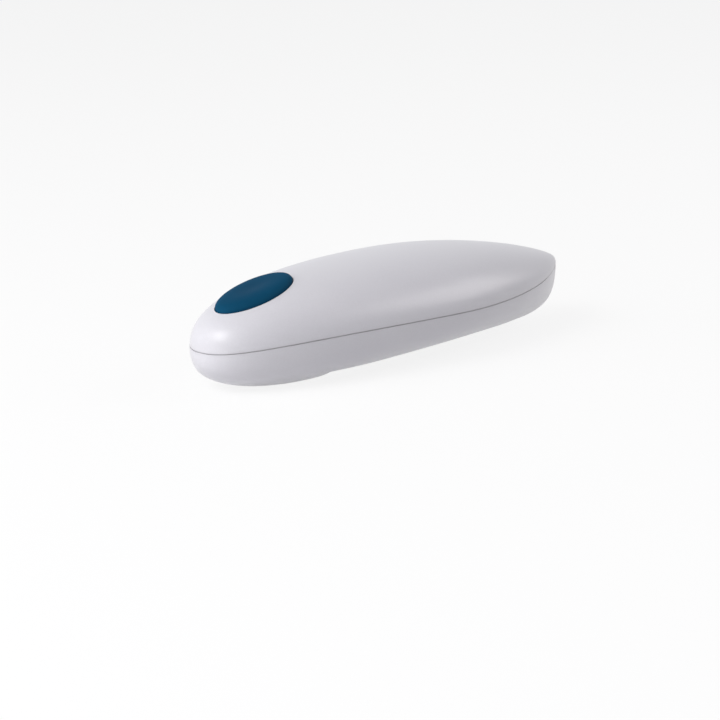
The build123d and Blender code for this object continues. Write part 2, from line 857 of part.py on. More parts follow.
with BuildPart() as drive_spindle:
    with BuildSketch(Plane.XY.offset(wheel_seat)):
        with Locations(drive_place):
            Circle(spindle_foot)
    extrude(amount=wheel_high - wheel_seat)
    with BuildSketch(Plane.XY.offset(wheel_high)):
        with Locations(drive_place):
            Circle(spindle_radius)
    extrude(amount=final_low + final_face + 0.6 - wheel_high)
    with BuildSketch(Plane.XY.offset(final_low + final_face + 0.6)):
        with Locations(drive_place):
            Circle(journal_radius)
    extrude(amount=top_high - final_low - final_face - 0.6)
    with BuildSketch(Plane.XY.offset(wheel_seat)):
        with Locations(drive_place):
            Circle(drive_screw_radius)
    extrude(amount=6, mode=Mode.SUBTRACT)

write(drive_spindle, "drive_spindle")

with BuildPart() as drive_wheel:
    wheel_points = []
    for point in range(2 * drive_wheel_teeth):
        reach = drive_wheel_radius - (0 if point % 2 else drive_tooth_depth)
        turn = math.pi * point / drive_wheel_teeth
        wheel_points.append((reach * math.cos(turn), reach * math.sin(turn)))
    with BuildSketch(Plane.XY.offset(drive_wheel_low)):
        with Locations(drive_place):
            Polygon(*wheel_points)
    extrude(amount=wheel_high - drive_wheel_low)
    with BuildSketch(Plane.XY.offset(drive_wheel_low)):
        with Locations(drive_place):
            Circle(spindle_foot + press_fit)
    extrude(amount=wheel_high, mode=Mode.SUBTRACT)
    with BuildSketch(Plane.XY.offset(drive_wheel_low)):
        with Locations(drive_place):
            Circle(drive_head_radius + drive_head_room)
    extrude(amount=wheel_seat - drive_wheel_low, mode=Mode.SUBTRACT)

write(drive_wheel, "drive_wheel")

with BuildPart() as drive_wheel_screw:
    drive_head_low = drive_wheel_low + 0.05
    with BuildSketch(Plane.XY.offset(drive_head_low)):
        with Locations(drive_place):
            Circle(drive_head_radius)
            Rectangle(2 * drive_head_radius + drive_head_room, 0.6, mode=Mode.SUBTRACT)
    extrude(amount=drive_slot_depth)
    with BuildSketch(Plane.XY.offset(drive_head_low + drive_slot_depth)):
        with Locations(drive_place):
            Circle(drive_head_radius)
    extrude(amount=wheel_seat - drive_head_low - drive_slot_depth)
    with BuildSketch(Plane.XY.offset(wheel_seat)):
        with Locations(drive_place):
            Circle(drive_screw_radius - press_fit)
    extrude(amount=5.5)

write(drive_wheel_screw, "drive_wheel_screw")


# Flanged bearing bush through the floor and its steel plate
def bush(place, outside, inside):
    with BuildPart() as sleeve:
        with BuildSketch(Plane.XY.offset(plate_low)):
            with Locations(place):
                Circle(outside)
        extrude(amount=floor_top - plate_low)
        with BuildSketch(Plane.XY.offset(floor_top)):
            with Locations(place):
                Circle(outside + 1.2)
        extrude(amount=bush_flange)
        with BuildSketch(Plane.XY.offset(plate_low)):
            with Locations(place):
                Circle(inside + running_fit)
        extrude(amount=floor_top - plate_low + bush_flange, mode=Mode.SUBTRACT)
    return sleeve


crank_radius = 3.5
clutch_spring_inside = 2.7
clutch_spring_outside = 5.2
clutch_collar_radius = 5.4
spindle_bush = bush(drive_place, spindle_bush_radius, spindle_radius)
write(spindle_bush, "spindle_bush")
crank_bush = bush(cutter_place, crank_bush_radius, crank_radius)
write(crank_bush, "crank_bush")

with BuildPart() as clutch_gear:
    with BuildSketch(facing(drive_place, closing_low, cutter_place)):
        Polygon(*gear_points(closing_teeth, closing_module, 0))
        Circle(spindle_radius + running_fit, mode=Mode.SUBTRACT)
    extrude(amount=closing_face)

write(clutch_gear, "clutch_gear")

with BuildPart() as clutch_spring:
    spring_low = closing_low + closing_face + 0.05
    with BuildSketch(Plane((drive_place[0], 0, spring_low), x_dir=(1, 0, 0), z_dir=(0, -1, 0))):
        Polygon((clutch_spring_inside, 0.28), (clutch_spring_outside, 0.0),
                (clutch_spring_outside, 0.25), (clutch_spring_inside, 0.53))
    revolve(axis=Axis((drive_place[0], 0, 0), (0, 0, 1)))

write(clutch_spring, "clutch_spring")

with BuildPart() as clutch_collar:
    with BuildSketch(Plane.XY.offset(collar_low)):
        with Locations(drive_place):
            Circle(clutch_collar_radius)
            Circle(spindle_radius + press_fit, mode=Mode.SUBTRACT)
    extrude(amount=collar_height)

write(clutch_collar, "clutch_collar")

# Cutter on the pin of a crank that swings it towards the drive wheel
pin_place = (cutter_place[0] - cutter_throw, 0)
pin_radius = 1.6
seat_radius = 2.7
crank_disc_high = plate_low - 0.1
crank_disc_low = crank_disc_high - 0.8
crank_disc_radius = 5.6
clip_radius = 2.9
pin_low = 1.0
cutter_high = crank_disc_low - 0.1
cutter_low = cutter_high - 1.7
top_journal_radius = 1.5

with BuildPart() as cutter_crank:
    with BuildSketch(Plane.XY.offset(pin_low)):
        with Locations(pin_place):
            Circle(pin_radius)
    extrude(amount=crank_disc_low - pin_low)
    with BuildSketch(Plane.XY.offset(crank_disc_low)):
        with Locations(cutter_place):
            Circle(crank_disc_radius)
    extrude(amount=crank_disc_high - crank_disc_low)
    with BuildSketch(Plane.XY.offset(crank_disc_high)):
        with Locations(cutter_place):
            Circle(crank_radius)
    extrude(amount=closing_low - 0.05 - crank_disc_high)
    with BuildSketch(Plane.XY.offset(closing_low - 0.05)):
        with Locations(cutter_place):
            Circle(seat_radius)
    extrude(amount=closing_face + 0.25)
    with BuildSketch(Plane.XY.offset(closing_low + closing_face + 0.2)):
        with Locations(cutter_place):
            Circle(top_journal_radius)
    extrude(amount=base_top - 0.1 - closing_low - closing_face - 0.2)

write(cutter_crank, "cutter_crank")

with BuildPart() as cutter_gear:
    with BuildSketch(facing(cutter_place, closing_low, drive_place)):
        Polygon(*gear_points(closing_teeth, closing_module, 0, gap_first=True))
        Circle(seat_radius + press_fit, mode=Mode.SUBTRACT)
    extrude(amount=closing_face)

write(cutter_gear, "cutter_gear")

with BuildPart() as cutter_wheel:
    with BuildSketch(Plane((pin_place[0], 0, cutter_low), x_dir=(1, 0, 0), z_dir=(0, -1, 0))):
        Polygon((pin_radius + running_fit, 0), (3.4, 0), (3.6, 0.35), (cutter_radius, 0.75),
                (cutter_radius, 0.85), (4.6, 1.35), (3.4, 1.7), (pin_radius + running_fit, 1.7))
    revolve(axis=Axis((pin_place[0], 0, 0), (0, 0, 1)))

write(cutter_wheel, "cutter_wheel")

with BuildPart() as cutter_clip:
    with BuildSketch(Plane.XY.offset(pin_low)):
        with Locations(pin_place):
            Circle(clip_radius)
            Circle(pin_radius + press_fit, mode=Mode.SUBTRACT)
            with Locations((2.2, 0)):
                Rectangle(2.6, 1.6, mode=Mode.SUBTRACT)
    extrude(amount=cutter_low - 0.1 - pin_low)

write(cutter_clip, "cutter_clip")

# Steel plate under the floor
with BuildPart() as mechanism_plate:
    with BuildSketch(Plane.XY.offset(plate_low)):
        with Locations(drive_place, cutter_place):
            Circle(plate_end_radius)
        with Locations(*plate_screw_places):
            Circle(plate_ear_radius)
        make_hull()
        with Locations(drive_place):
            Circle(spindle_bush_radius + press_fit, mode=Mode.SUBTRACT)
        with Locations(cutter_place):
            Circle(crank_bush_radius + press_fit, mode=Mode.SUBTRACT)
        with Locations(*plate_screw_places):
            Circle(small_screw_radius + screw_clearance, mode=Mode.SUBTRACT)
    extrude(amount=plate_thickness)

write(mechanism_plate, "mechanism_plate")

with BuildPart() as plate_screws:
    with BuildSketch(Plane.XY.offset(plate_low - plate_head_height)):
        with Locations(*plate_screw_places):
            Circle(small_head_radius)
            Rectangle(small_cross_length, small_cross_width, mode=Mode.SUBTRACT)
            Rectangle(small_cross_width, small_cross_length, mode=Mode.SUBTRACT)
    extrude(amount=plate_cross_depth)
    with BuildSketch(Plane.XY.offset(plate_low - plate_head_height + plate_cross_depth)):
        with Locations(*plate_screw_places):
            Circle(small_head_radius)
    extrude(amount=plate_head_height - plate_cross_depth)
    with BuildSketch(Plane.XY.offset(plate_low)):
        with Locations(*plate_screw_places):
            Circle(small_screw_radius - press_fit)
    extrude(amount=floor_top + 1 - plate_low)

write(plate_screws, "plate_screws")

# Gearbox plates, pillars and motor wall
pillar_places = ((drive_place[0], 16.6), (-48.5, 14.0), (-16.3, -12.2))
pillar_radius = 2.2
base_nose_x = motor_face_x + motor_wall
base_step_x = -55.4
base_tail_x = -11.5
base_half_width = 19.5
base_neck_width = 26.0
motor_wall_width = 22.0
top_lobe_radius = 4.0

with BuildPart() as gearbox_base:
    with BuildSketch(Plane.XY.offset(base_low)):
        with Locations(((base_step_x + base_tail_x) / 2, 0)):
            Rectangle(base_tail_x - base_step_x, 2 * base_half_width)
        with Locations(((base_nose_x + base_step_x) / 2, 0)):
            Rectangle(base_step_x - base_nose_x, base_neck_width)
        with Locations((pinion_face_x, 0)):
            Rectangle(2 * (pinion_end_x + 0.5 - pinion_face_x), 9.0, mode=Mode.SUBTRACT)
        with Locations((base_nose_x, 0)):
            Rectangle(2 * (small_head_height + 0.5), 19.0, mode=Mode.SUBTRACT)
        with Locations(drive_place):
            Circle(spindle_radius + gap, mode=Mode.SUBTRACT)
        with Locations(cutter_place):
            Circle(top_journal_radius + running_fit, mode=Mode.SUBTRACT)
        with Locations(first_place, second_place, third_place):
            Circle(axle_radius + press_fit, mode=Mode.SUBTRACT)
        with Locations(*base_screw_places):
            Circle(small_screw_radius + screw_clearance, mode=Mode.SUBTRACT)
    extrude(amount=base_thickness)
    with BuildSketch(Plane.XY.offset(base_top)):
        with Locations(*pillar_places):
            Circle(pillar_radius)
    extrude(amount=top_low - base_top)
    with BuildSketch(Plane.XY.offset(top_low - 5)):
        with Locations(*pillar_places):
            Circle(small_screw_radius)
    extrude(amount=5, mode=Mode.SUBTRACT)
    with BuildSketch(along_x(motor_face_x)):
        Rectangle(motor_thickness + 0.8, motor_wall_width)
        with Locations((base_low + base_thickness / 2 - motor_axis_z, 0)):
            Rectangle(base_thickness, base_neck_width)
        Circle(motor_boss_radius + press_fit, mode=Mode.SUBTRACT)
        with Locations(*motor_screw_places):
            Circle(small_screw_radius + screw_clearance, mode=Mode.SUBTRACT)
    extrude(amount=motor_wall)

write(gearbox_base, "gearbox_base")

with BuildPart() as gearbox_top:
    with BuildSketch(Plane.XY.offset(top_low)):
        with Locations(first_place, second_place, third_place, drive_place, *pillar_places):
            Circle(top_lobe_radius)
        make_hull()
        with Locations(first_place, second_place, third_place):
            Circle(axle_radius + press_fit, mode=Mode.SUBTRACT)
        with Locations(drive_place):
            Circle(journal_radius + running_fit, mode=Mode.SUBTRACT)
        with Locations(*pillar_places):
            Circle(small_screw_radius + screw_clearance, mode=Mode.SUBTRACT)
    extrude(amount=top_thickness)

write(gearbox_top, "gearbox_top")

with BuildPart() as gearbox_screws:
    for places, seat, depth in ((base_screw_places, base_top, base_thickness + 3.5),
                                (pillar_places, top_high, top_thickness + 4.5)):
        with BuildSketch(Plane.XY.offset(seat)):
            with Locations(*places):
                Circle(small_head_radius)
        extrude(amount=small_head_height)
        with BuildSketch(Plane.XY.offset(seat)):
            with Locations(*places):
                Circle(small_screw_radius - press_fit)
        extrude(amount=-depth)

write(gearbox_screws, "gearbox_screws")

with BuildPart() as lid_magnet:
    with BuildSketch(Plane.XY.offset(magnet_low)):
        with Locations(magnet_place):
            Circle(magnet_radius)
    extrude(amount=magnet_height)

write(lid_magnet, "lid_magnet")

with BuildPart() as case_screws:
    with BuildSketch(Plane.XY.offset(screw_seat - screw_head_height)):
        with Locations(*case_screw_places):
            Circle(screw_head_radius)
            Rectangle(cross_length, cross_width, mode=Mode.SUBTRACT)
            Rectangle(cross_width, cross_length, mode=Mode.SUBTRACT)
    extrude(amount=cross_depth)
    with BuildSketch(Plane.XY.offset(screw_seat - screw_head_height + cross_depth)):
        with Locations(*case_screw_places):
            Circle(screw_head_radius)
    extrude(amount=screw_head_height - cross_depth)
    with BuildSketch(Plane.XY.offset(screw_seat)):
        with Locations(*case_screw_places):
            Circle(screw_radius - press_fit)
    extrude(amount=screw_length)

write(case_screws, "case_screws")

# Plugs that close the screw recesses flush with the case
with BuildPart() as screw_plugs:
    with BuildSketch(Plane.XY):
        with Locations(*case_screw_places):
            Circle(screw_head_radius + gap - press_fit)
    extrude(amount=screw_seat - screw_head_height - gap)
    add(outer_body.part, mode=Mode.INTERSECT)

write(screw_plugs, "screw_plugs")

# Battery cover, cells and contacts
with BuildPart() as battery_cover:
    with BuildSketch(Plane.XY):
        with Locations(((cover_nose_x + cover_tail_x) / 2, 0)):
            RectangleRounded(cover_tail_x - cover_nose_x, 2 * cover_half_width, cover_corner)
    extrude(amount=floor_top + 2.5)
    add(outer_body.part, mode=Mode.INTERSECT)
    add(inner_body.part, mode=Mode.SUBTRACT)
    with BuildSketch(Plane.XY.offset(floor_top - 0.3)):
        with Locations((cover_tail_x - 1.0, hook_place_y), (cover_tail_x - 1.0, -hook_place_y)):
            Rectangle(1.4, hook_width)
    extrude(amount=hook_low + hook_height - floor_top + 0.3)
    with BuildSketch(Plane.XY.offset(hook_low)):
        with Locations((cover_tail_x, hook_place_y), (cover_tail_x, -hook_place_y)):
            Rectangle(2 * hook_reach, hook_width)
    extrude(amount=hook_height)
    with BuildSketch(Plane.XY.offset(underside_height)):
        with Locations((cover_nose_x + thumb_slot_inset, 0)):
            SlotOverall(thumb_slot_length, thumb_slot_width, rotation=90)
    extrude(amount=thumb_slot_depth, mode=Mode.SUBTRACT)

write(battery_cover, "battery_cover")


# One cell along +X or -X with its raised end forward
def cell(start_x, y, way):
    with BuildPart() as body:
        with BuildSketch(Plane((start_x, y, cell_axis_z), x_dir=(0, 1, 0), z_dir=(way, 0, 0))):
            Circle(cell_radius)
        extrude(amount=cell_length - cell_nub_height)
        fillet(body.edges(), cell_edge)
        nub_x = start_x + way * (cell_length - cell_nub_height)
        with BuildSketch(Plane((nub_x, y, cell_axis_z), x_dir=(0, 1, 0), z_dir=(way, 0, 0))):
            Circle(cell_nub_radius)
        extrude(amount=cell_nub_height)
    return body


left_y = cell_spacing / 2
right_y = -cell_spacing / 2
inner_nose_x = bay_nose_x + contact_thickness
inner_tail_x = bay_tail_x - contact_thickness
battery_cell_left = cell(inner_nose_x + spring_room, left_y, 1)
write(battery_cell_left, "battery_cell_left")
battery_cell_right = cell(inner_tail_x - spring_room, right_y, -1)
write(battery_cell_right, "battery_cell_right")

battery_wire = 0.4
battery_coil = coil(4.6, 2.6, spring_room - 2 * battery_wire - 0.1, 3, battery_wire)
nose_coil = Plane((inner_nose_x + battery_wire - 0.15, left_y, cell_axis_z), x_dir=(0, 1, 0),
                  z_dir=(1, 0, 0)).location * battery_coil
tail_coil = Plane((inner_tail_x - battery_wire + 0.15, right_y, cell_axis_z), x_dir=(0, 1, 0),
                  z_dir=(-1, 0, 0)).location * battery_coil
contact_size = 11.0
tab_width = 3.0
tab_top = 24.0


# Flat contact plate against a bay wall, with a tab for its wire
def contact_plate(y):
    with BuildPart() as plate:
        with BuildSketch(Plane((bay_nose_x, y, cell_axis_z), x_dir=(0, 1, 0), z_dir=(1, 0, 0))):
            Rectangle(contact_size, contact_size)
            with Locations((0, (tab_top - cell_axis_z) / 2)):
                Rectangle(tab_width, tab_top - cell_axis_z)
        extrude(amount=contact_thickness)
    return plate.part


negative_plate = contact_plate(left_y)
positive_plate = contact_plate(right_y)

with BuildPart() as contact_negative:
    add(negative_plate)
    add(nose_coil)

write(contact_negative, "contact_negative")

with BuildPart() as contact_positive:
    add(positive_plate)

write(contact_positive, "contact_positive")

with BuildPart() as contact_bridge:
    with BuildSketch(Plane((inner_tail_x, 0, cell_axis_z), x_dir=(0, 1, 0), z_dir=(1, 0, 0))):
        Rectangle(cell_spacing + contact_size, contact_size)
    extrude(amount=contact_thickness)
    add(tail_coil)

write(contact_bridge, "contact_bridge")

# Wires
wire_radius = 0.7
wire_lane_y = 20.4
wire_turn_x = -54.2
board_wire_x = -58.0
board_under = button_plane(board_depth + board_thickness)
board_wire_z = (board_under.origin.Z + (board_wire_x - board_under.origin.X) * math.tan(button_slope)
                - wire_radius * math.tan(button_slope) - 0.05)


def wire(points, bend):
    with BuildPart() as lead:
        with BuildLine() as path:
            FilletPolyline(*points, radius=bend)
        with BuildSketch(Plane(path.wire() @ 0, z_dir=path.wire() % 0)):
            Circle(wire_radius)
        sweep(path=path.wire())
    return lead.part


battery_leads = []
for y, lane_x, lane_z, board_y in ((left_y, 5.4, 20.2, 10.0), (right_y, 3.2, 22.3, 6.0)):
    battery_leads.append(wire(((bay_nose_x, y, lane_z), (lane_x, y, lane_z),
                               (lane_x, wire_lane_y, lane_z), (wire_turn_x, wire_lane_y, lane_z),
                               (wire_turn_x, board_y, lane_z), (board_wire_x, board_y, lane_z),
                               (board_wire_x, board_y, board_wire_z)), 1.4))

with BuildPart() as battery_wires:
    add(battery_leads)

write(battery_wires, "battery_wires")

motor_lead_x = -75.5
motor_lead_y = 12.2
motor_lead_top = (board_under.origin.Z + (motor_lead_x - board_under.origin.X) * math.tan(button_slope)
                  - wire_radius * math.tan(button_slope) - 0.05)
terminal_x = cap_rear_x - 1.4

motor_leads = []
for side in (1, -1):
    motor_leads.append(wire(((motor_lead_x, side * motor_lead_y, motor_lead_top),
                             (motor_lead_x, side * motor_lead_y, motor_axis_z),
                             (terminal_x, side * motor_lead_y, motor_axis_z),
                             (terminal_x, side * (terminal_y + 0.2), motor_axis_z)), 2.0))

with BuildPart() as motor_wires:
    add(motor_leads)

write(motor_wires, "motor_wires")

# Places of the moving pieces, in millimetres
print("drive", drive_place, "cutter", cutter_place, "pin", pin_place)
print("first", first_place, "second", second_place, "third", third_place)
print("heights base", base_low, base_top, "top", top_low, top_high, "closing", closing_low)
print("button", button_top, button_up, "travel", button_travel, "plunger", plunger_top, plunger_foot)
print("cover hinge", cover_tail_x, underside_height, "cells", cell_axis_z, "bay", bay_nose_x, bay_tail_x)
print("levels", bevel_back, second_low, third_low, final_low, collar_low)
print("case", lower_case.part.volume, len(lower_case.part.solids()), lower_case.part.bounding_box())
print("case", upper_case.part.volume, len(upper_case.part.solids()), upper_case.part.bounding_box())
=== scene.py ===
# %% [markdown]
# # A battery can opener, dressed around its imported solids
# The opener is a smooth egg of two pearl-coloured shells with one dark blue button on its nose.
# Under it sit a toothed drive wheel, a swinging cutter wheel and a round magnet.
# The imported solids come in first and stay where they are. Each visible piece then gets either a
# finish of its own, or a finer mesh that stands for the solid. All lengths are metres.

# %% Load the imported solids
import json
import math
from collections import Counter

import bmesh
import bpy
import numpy as np
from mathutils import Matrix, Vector


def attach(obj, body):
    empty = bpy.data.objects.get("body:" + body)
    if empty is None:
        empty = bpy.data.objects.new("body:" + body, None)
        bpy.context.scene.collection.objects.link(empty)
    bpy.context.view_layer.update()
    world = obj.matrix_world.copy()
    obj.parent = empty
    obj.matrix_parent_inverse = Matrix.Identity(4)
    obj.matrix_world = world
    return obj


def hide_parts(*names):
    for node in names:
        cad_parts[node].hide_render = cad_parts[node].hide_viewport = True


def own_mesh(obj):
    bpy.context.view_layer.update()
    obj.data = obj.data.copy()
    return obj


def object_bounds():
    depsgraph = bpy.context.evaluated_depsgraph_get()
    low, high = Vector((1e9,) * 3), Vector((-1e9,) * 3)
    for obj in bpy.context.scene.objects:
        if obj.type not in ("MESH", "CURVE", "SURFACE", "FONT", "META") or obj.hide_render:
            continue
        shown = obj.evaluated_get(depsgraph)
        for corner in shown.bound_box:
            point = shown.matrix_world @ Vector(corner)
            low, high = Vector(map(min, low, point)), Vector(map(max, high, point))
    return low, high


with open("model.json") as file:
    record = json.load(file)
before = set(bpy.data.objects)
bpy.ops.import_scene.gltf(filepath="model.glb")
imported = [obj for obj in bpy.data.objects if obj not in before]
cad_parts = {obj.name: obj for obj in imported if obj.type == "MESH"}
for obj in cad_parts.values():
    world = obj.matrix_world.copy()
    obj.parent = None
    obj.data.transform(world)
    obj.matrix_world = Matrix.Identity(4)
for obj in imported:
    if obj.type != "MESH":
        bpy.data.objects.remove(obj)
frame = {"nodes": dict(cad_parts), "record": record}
cad_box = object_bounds()
scene = bpy.context.scene
mm = 0.001

# %% [markdown]
# ## Camera
# The photograph looks down a little from the nose end, with the opener turned so that its long
# side runs away to the right. A long lens keeps the egg from bulging. The opener is drawn in its
# own frame, so the camera is what turns.

# %% Camera at the photograph's angle
camera_data = bpy.data.cameras.new("studio_camera")
camera_data.lens = 128.5
camera_data.sensor_width = 36.0
camera_data.clip_end = 20.0
camera = bpy.data.objects.new("studio_camera", camera_data)
scene.collection.objects.link(camera)
camera.location = (-0.708, -0.669, 0.220)
camera.rotation_euler = (math.radians(77.1), 0.0, math.radians(-46.0))
scene.camera = camera
print("camera lens", camera_data.lens)

# %% [markdown]
# ## Node trees as arithmetic
# Shader trees and geometry trees share the same Math node, so one small class serves both. A
# wire stands for an output socket, and plus, minus, times and so on add Math nodes. A board is a
# tree, and its node method adds any other node: the type, the settings, then the sockets. Taking
# a vector apart and putting one together are so common that they have short forms.


# %% Wires and boards
class Wire:
    def __init__(self, board, socket):
        self.board = board
        self.socket = socket

    def maths(self, operation, other=None, flip=False):
        pair = (other, self) if flip else (self, other)
        values = {place: value for place, value in enumerate(pair) if value is not None}
        return self.board.node("ShaderNodeMath", {"operation": operation}, values)

    def __add__(self, other):
        return self.maths("ADD", other)

    def __radd__(self, other):
        return self.maths("ADD", other)

    def __sub__(self, other):
        return self.maths("SUBTRACT", other)

    def __rsub__(self, other):
        return self.maths("SUBTRACT", other, flip=True)

    def __mul__(self, other):
        return self.maths("MULTIPLY", other)

    def __rmul__(self, other):
        return self.maths("MULTIPLY", other)

    def __truediv__(self, other):
        return self.maths("DIVIDE", other)

    def __rtruediv__(self, other):
        return self.maths("DIVIDE", other, flip=True)

    def __pow__(self, other):
        return self.maths("POWER", other)

    def __abs__(self):
        return self.maths("ABSOLUTE")

    def __lt__(self, other):
        return self.maths("LESS_THAN", other)

    def other(self, name):
        return Wire(self.board, self.board.socket(self.socket.node.outputs, name))


class Board:
    def __init__(self, tree):
        self.tree = tree

    def node(self, kind, settings=None, sockets=None, give=0):
        """Adds a node. Its settings come first, because they decide which sockets it has."""
        made = self.tree.nodes.new(kind)
        for name, value in (settings or {}).items():
            if name == "stops":
                self.fill_ramp(made.color_ramp, value)
            else:
                setattr(made, name, value)
        for name, value in (sockets or {}).items():
            self.put(self.socket(made.inputs, name), value)
        return Wire(self, self.socket(made.outputs, give))

    def socket(self, sockets, name):
        usable = [s for s in sockets if s.enabled]
        return usable[name] if isinstance(name, int) else next(s for s in usable if s.name == name)

    def put(self, socket, value):
        if isinstance(value, Wire):
            self.tree.links.new(value.socket, socket)
        else:
            socket.default_value = value

    def fill_ramp(self, ramp, stops):
        while len(ramp.elements) > 1:
            ramp.elements.remove(ramp.elements[-1])
        for count, (place, shade) in enumerate(stops):
            stop = ramp.elements[0] if count == 0 else ramp.elements.new(place)
            stop.position = place
            stop.color = (shade, shade, shade, 1.0)

    def axes(self, vector, names):
        split = self.node("ShaderNodeSeparateXYZ", None, {"Vector": vector})
        return [split.other(name) for name in names]

    def vector(self, **parts):
        return self.node("ShaderNodeCombineXYZ", None, parts)


print("boards ready")

# %% [markdown]
# ## The rule of the egg
# The case is one rule. Along its length, from -1 at the nose to 1 at the tail, the half-width and
# the height of the crown swell and fall as powers. Across it, each section is a quarter Bezier
# curve from the parting line up to the crown. The functions below take plain numbers, arrays or
# wires, so one rule finds the parting line for a finish, lays out the plan of the upper shell, and
# raises that shell inside a geometry tree.

# %% Shape rule along the case
sizes = {"Half Length": 97.35 * mm, "Half Width": 35.2 * mm, "Crown Height": 20.8 * mm,
         "Parting Height": 20.0 * mm, "Nose Drop": 4.6 * mm, "Tail Rise": 5.5 * mm,
         "Parting Gap": 0.15 * mm}
half_length, widest_place = sizes["Half Length"], 0.10
nose_width_curve, tail_width_curve = (1.8, 2.3), (1.7, 1.5)
nose_crown_curve, tail_crown_curve = (2.0, 3.3), (2.2, 1.15)


def at_most_one(value):
    return value.maths("MINIMUM", 1.0) if isinstance(value, Wire) else np.minimum(value, 1.0)


def choose(test, when_true, when_false):
    return test * when_true + (1 - test) * when_false


def swell(place, power, root):
    return (1 - at_most_one(abs(place)) ** power) ** (1 / root)


def width_rule(place, size):
    nose = swell((widest_place - place) / (1 + widest_place), *nose_width_curve)
    tail = swell((place - widest_place) / (1 - widest_place), *tail_width_curve)
    return size["Half Width"] * choose(place < widest_place, nose, tail)


def crown_rule(place, size):
    nose, tail = swell(place, *nose_crown_curve), swell(place, *tail_crown_curve)
    return size["Crown Height"] * choose(place < 0.0, nose, tail)


def parting_rule(place, size):
    bend = choose(place < 0.0, size["Nose Drop"], size["Tail Rise"])
    return size["Parting Height"] + place * place * place * bend


print("widest half", round(float(width_rule(widest_place, sizes)) / mm, 2), "mm")

# %% Shape rule across the case
side_pull, top_pull = 0.60, 0.58
section_rounds, hair = 6, 1e-7


def section_rule(side):
    """Share of the crown's height at a share of the half-width, on a Bezier curve.

    side_pull is how far its upright handle reaches, and top_pull where its level one ends. A few
    rounds find how far along the curve that side is."""
    away = 1 - side
    climb = away ** 0.5
    for _ in range(section_rounds):
        climb = (away / (3 - 3 * top_pull - (2 - 3 * top_pull) * climb)) ** 0.5
    return climb * (3 * side_pull - climb * (6 * side_pull - 3 + (2 - 3 * side_pull) * climb))


def upper_height(x, y, size):
    place = x / size["Half Length"]
    side = at_most_one(abs(y) / (width_rule(place, size) + hair))
    return parting_rule(place, size) + crown_rule(place, size) * section_rule(side)


def crown_height(x, y):
    return upper_height(np.asarray(x, float), np.asarray(y, float), sizes)


print("crown in the middle", round(float(crown_height(0.0, 0.0)) / mm, 2), "mm")

# %% [markdown]
# ## Finishes
# Every finish starts from Blender's principled shader. The real surfaces are never one flat
# colour: moulded plastic has a faint orange peel and cloudy pigment, ground steel has fine
# scratches along its grinding direction, and most pieces gather a little dust or stain. Those come
# from noise in object coordinates, so they stay fixed to the piece when it moves.


# %% A finish and its helpers
class Finish(Board):
    def __init__(self, name):
        self.material = bpy.data.materials.new(name)
        self.material.use_nodes = True
        super().__init__(self.material.node_tree)
        self.shader = self.tree.nodes["Principled BSDF"]
        self.place = self.node("ShaderNodeTexCoord", give="Object")

    def set(self, **sockets):
        for name, value in sockets.items():
            self.put(self.shader.inputs[name.replace("_", " ")], value)
        return self

    def noise(self, scale, detail=3.0, stretch=(1.0, 1.0, 1.0)):
        where = self.node("ShaderNodeMapping", None, {"Vector": self.place, "Scale": stretch})
        return self.node("ShaderNodeTexNoise", None,
                         {"Vector": where, "Scale": scale, "Detail": detail})

    def blend(self, share, first, second):
        first, second = ((*tint, 1.0) if isinstance(tint, tuple) else tint
                         for tint in (first, second))
        return self.node("ShaderNodeMix", {"data_type": "RGBA"},
                         {"Factor": share, "A": first, "B": second})

    def ramp(self, value, stops):
        return self.node("ShaderNodeValToRGB", {"stops": stops}, {"Fac": value})

    def bump(self, height, strength, depth):
        normal = self.node("ShaderNodeBump", None,
                           {"Height": height, "Strength": strength, "Distance": depth})
        return self.set(Normal=normal)


finishes = {}
print("finish helpers ready")

# %% [markdown]
# ### Pearl shell plastic
# The shells are a silver-white moulded plastic with a satin pearl. A metallic shader would mirror
# the studio too darkly, so this is a pale plastic: a cloudy noise drifts the tint between a cool
# and a warm white, a cell pattern gives the single flakes, and a soft coat keeps the wide
# highlight. Along the parting line between the shells the tint turns dark grey, placed by the rule
# of the egg: partly dust, and partly painted shade that stands for the shadow in the narrow gap.

# %% Pearl plastic
cool_white, warm_white = (0.545, 0.535, 0.580), (0.580, 0.570, 0.605)
flake_white, flake_share, flake_scale = (0.74, 0.73, 0.78), 0.10, 2600.0
# Dark grey of the parting line: partly dust, partly painted shade of the gap between the shells.
dust_and_shade_grey, dust_and_shade_share, dust_and_shade_reach = (0.13, 0.12, 0.13), 0.40, 1.4 * mm


def pearl_plastic():
    paint = Finish("pearl_plastic")
    x, z = paint.axes(paint.place, "XZ")
    cloud = paint.noise(scale=28.0, detail=2.0)
    flake = paint.node("ShaderNodeTexVoronoi", {"feature": "F1"},
                       {"Vector": paint.place, "Scale": flake_scale}, give="Color")
    sparkle = paint.node("ShaderNodeSeparateColor", None, {"Color": flake}, give="Red")
    above_line = z - parting_rule(x / half_length, sizes) - sizes["Parting Gap"]
    near_line = paint.ramp(abs(above_line) / dust_and_shade_reach,
                           [(0.0, 1.0), (0.10, 0.9), (0.20, 0.14), (1.0, 0.0)])
    tint = paint.blend(cloud, cool_white, warm_white)
    tint = paint.blend(sparkle * flake_share, tint, flake_white)
    # Painted shade: the parting line is darkened here, partly as dust, partly as the shadow of the
    # gap.
    tint = paint.blend(near_line * dust_and_shade_share, tint, dust_and_shade_grey)
    peel = paint.noise(scale=700.0, detail=1.0)
    paint.set(Base_Color=tint, Roughness=0.26 + 0.10 * cloud + 0.04 * sparkle, Coat_Weight=0.25,
              Coat_Roughness=0.30, Specular_IOR_Level=0.5)
    return paint.bump(peel + 0.35 * sparkle, strength=0.10, depth=0.03 * mm).material


finishes["pearl_plastic"] = pearl_plastic()
print("pearl nodes", len(finishes["pearl_plastic"].node_tree.nodes))
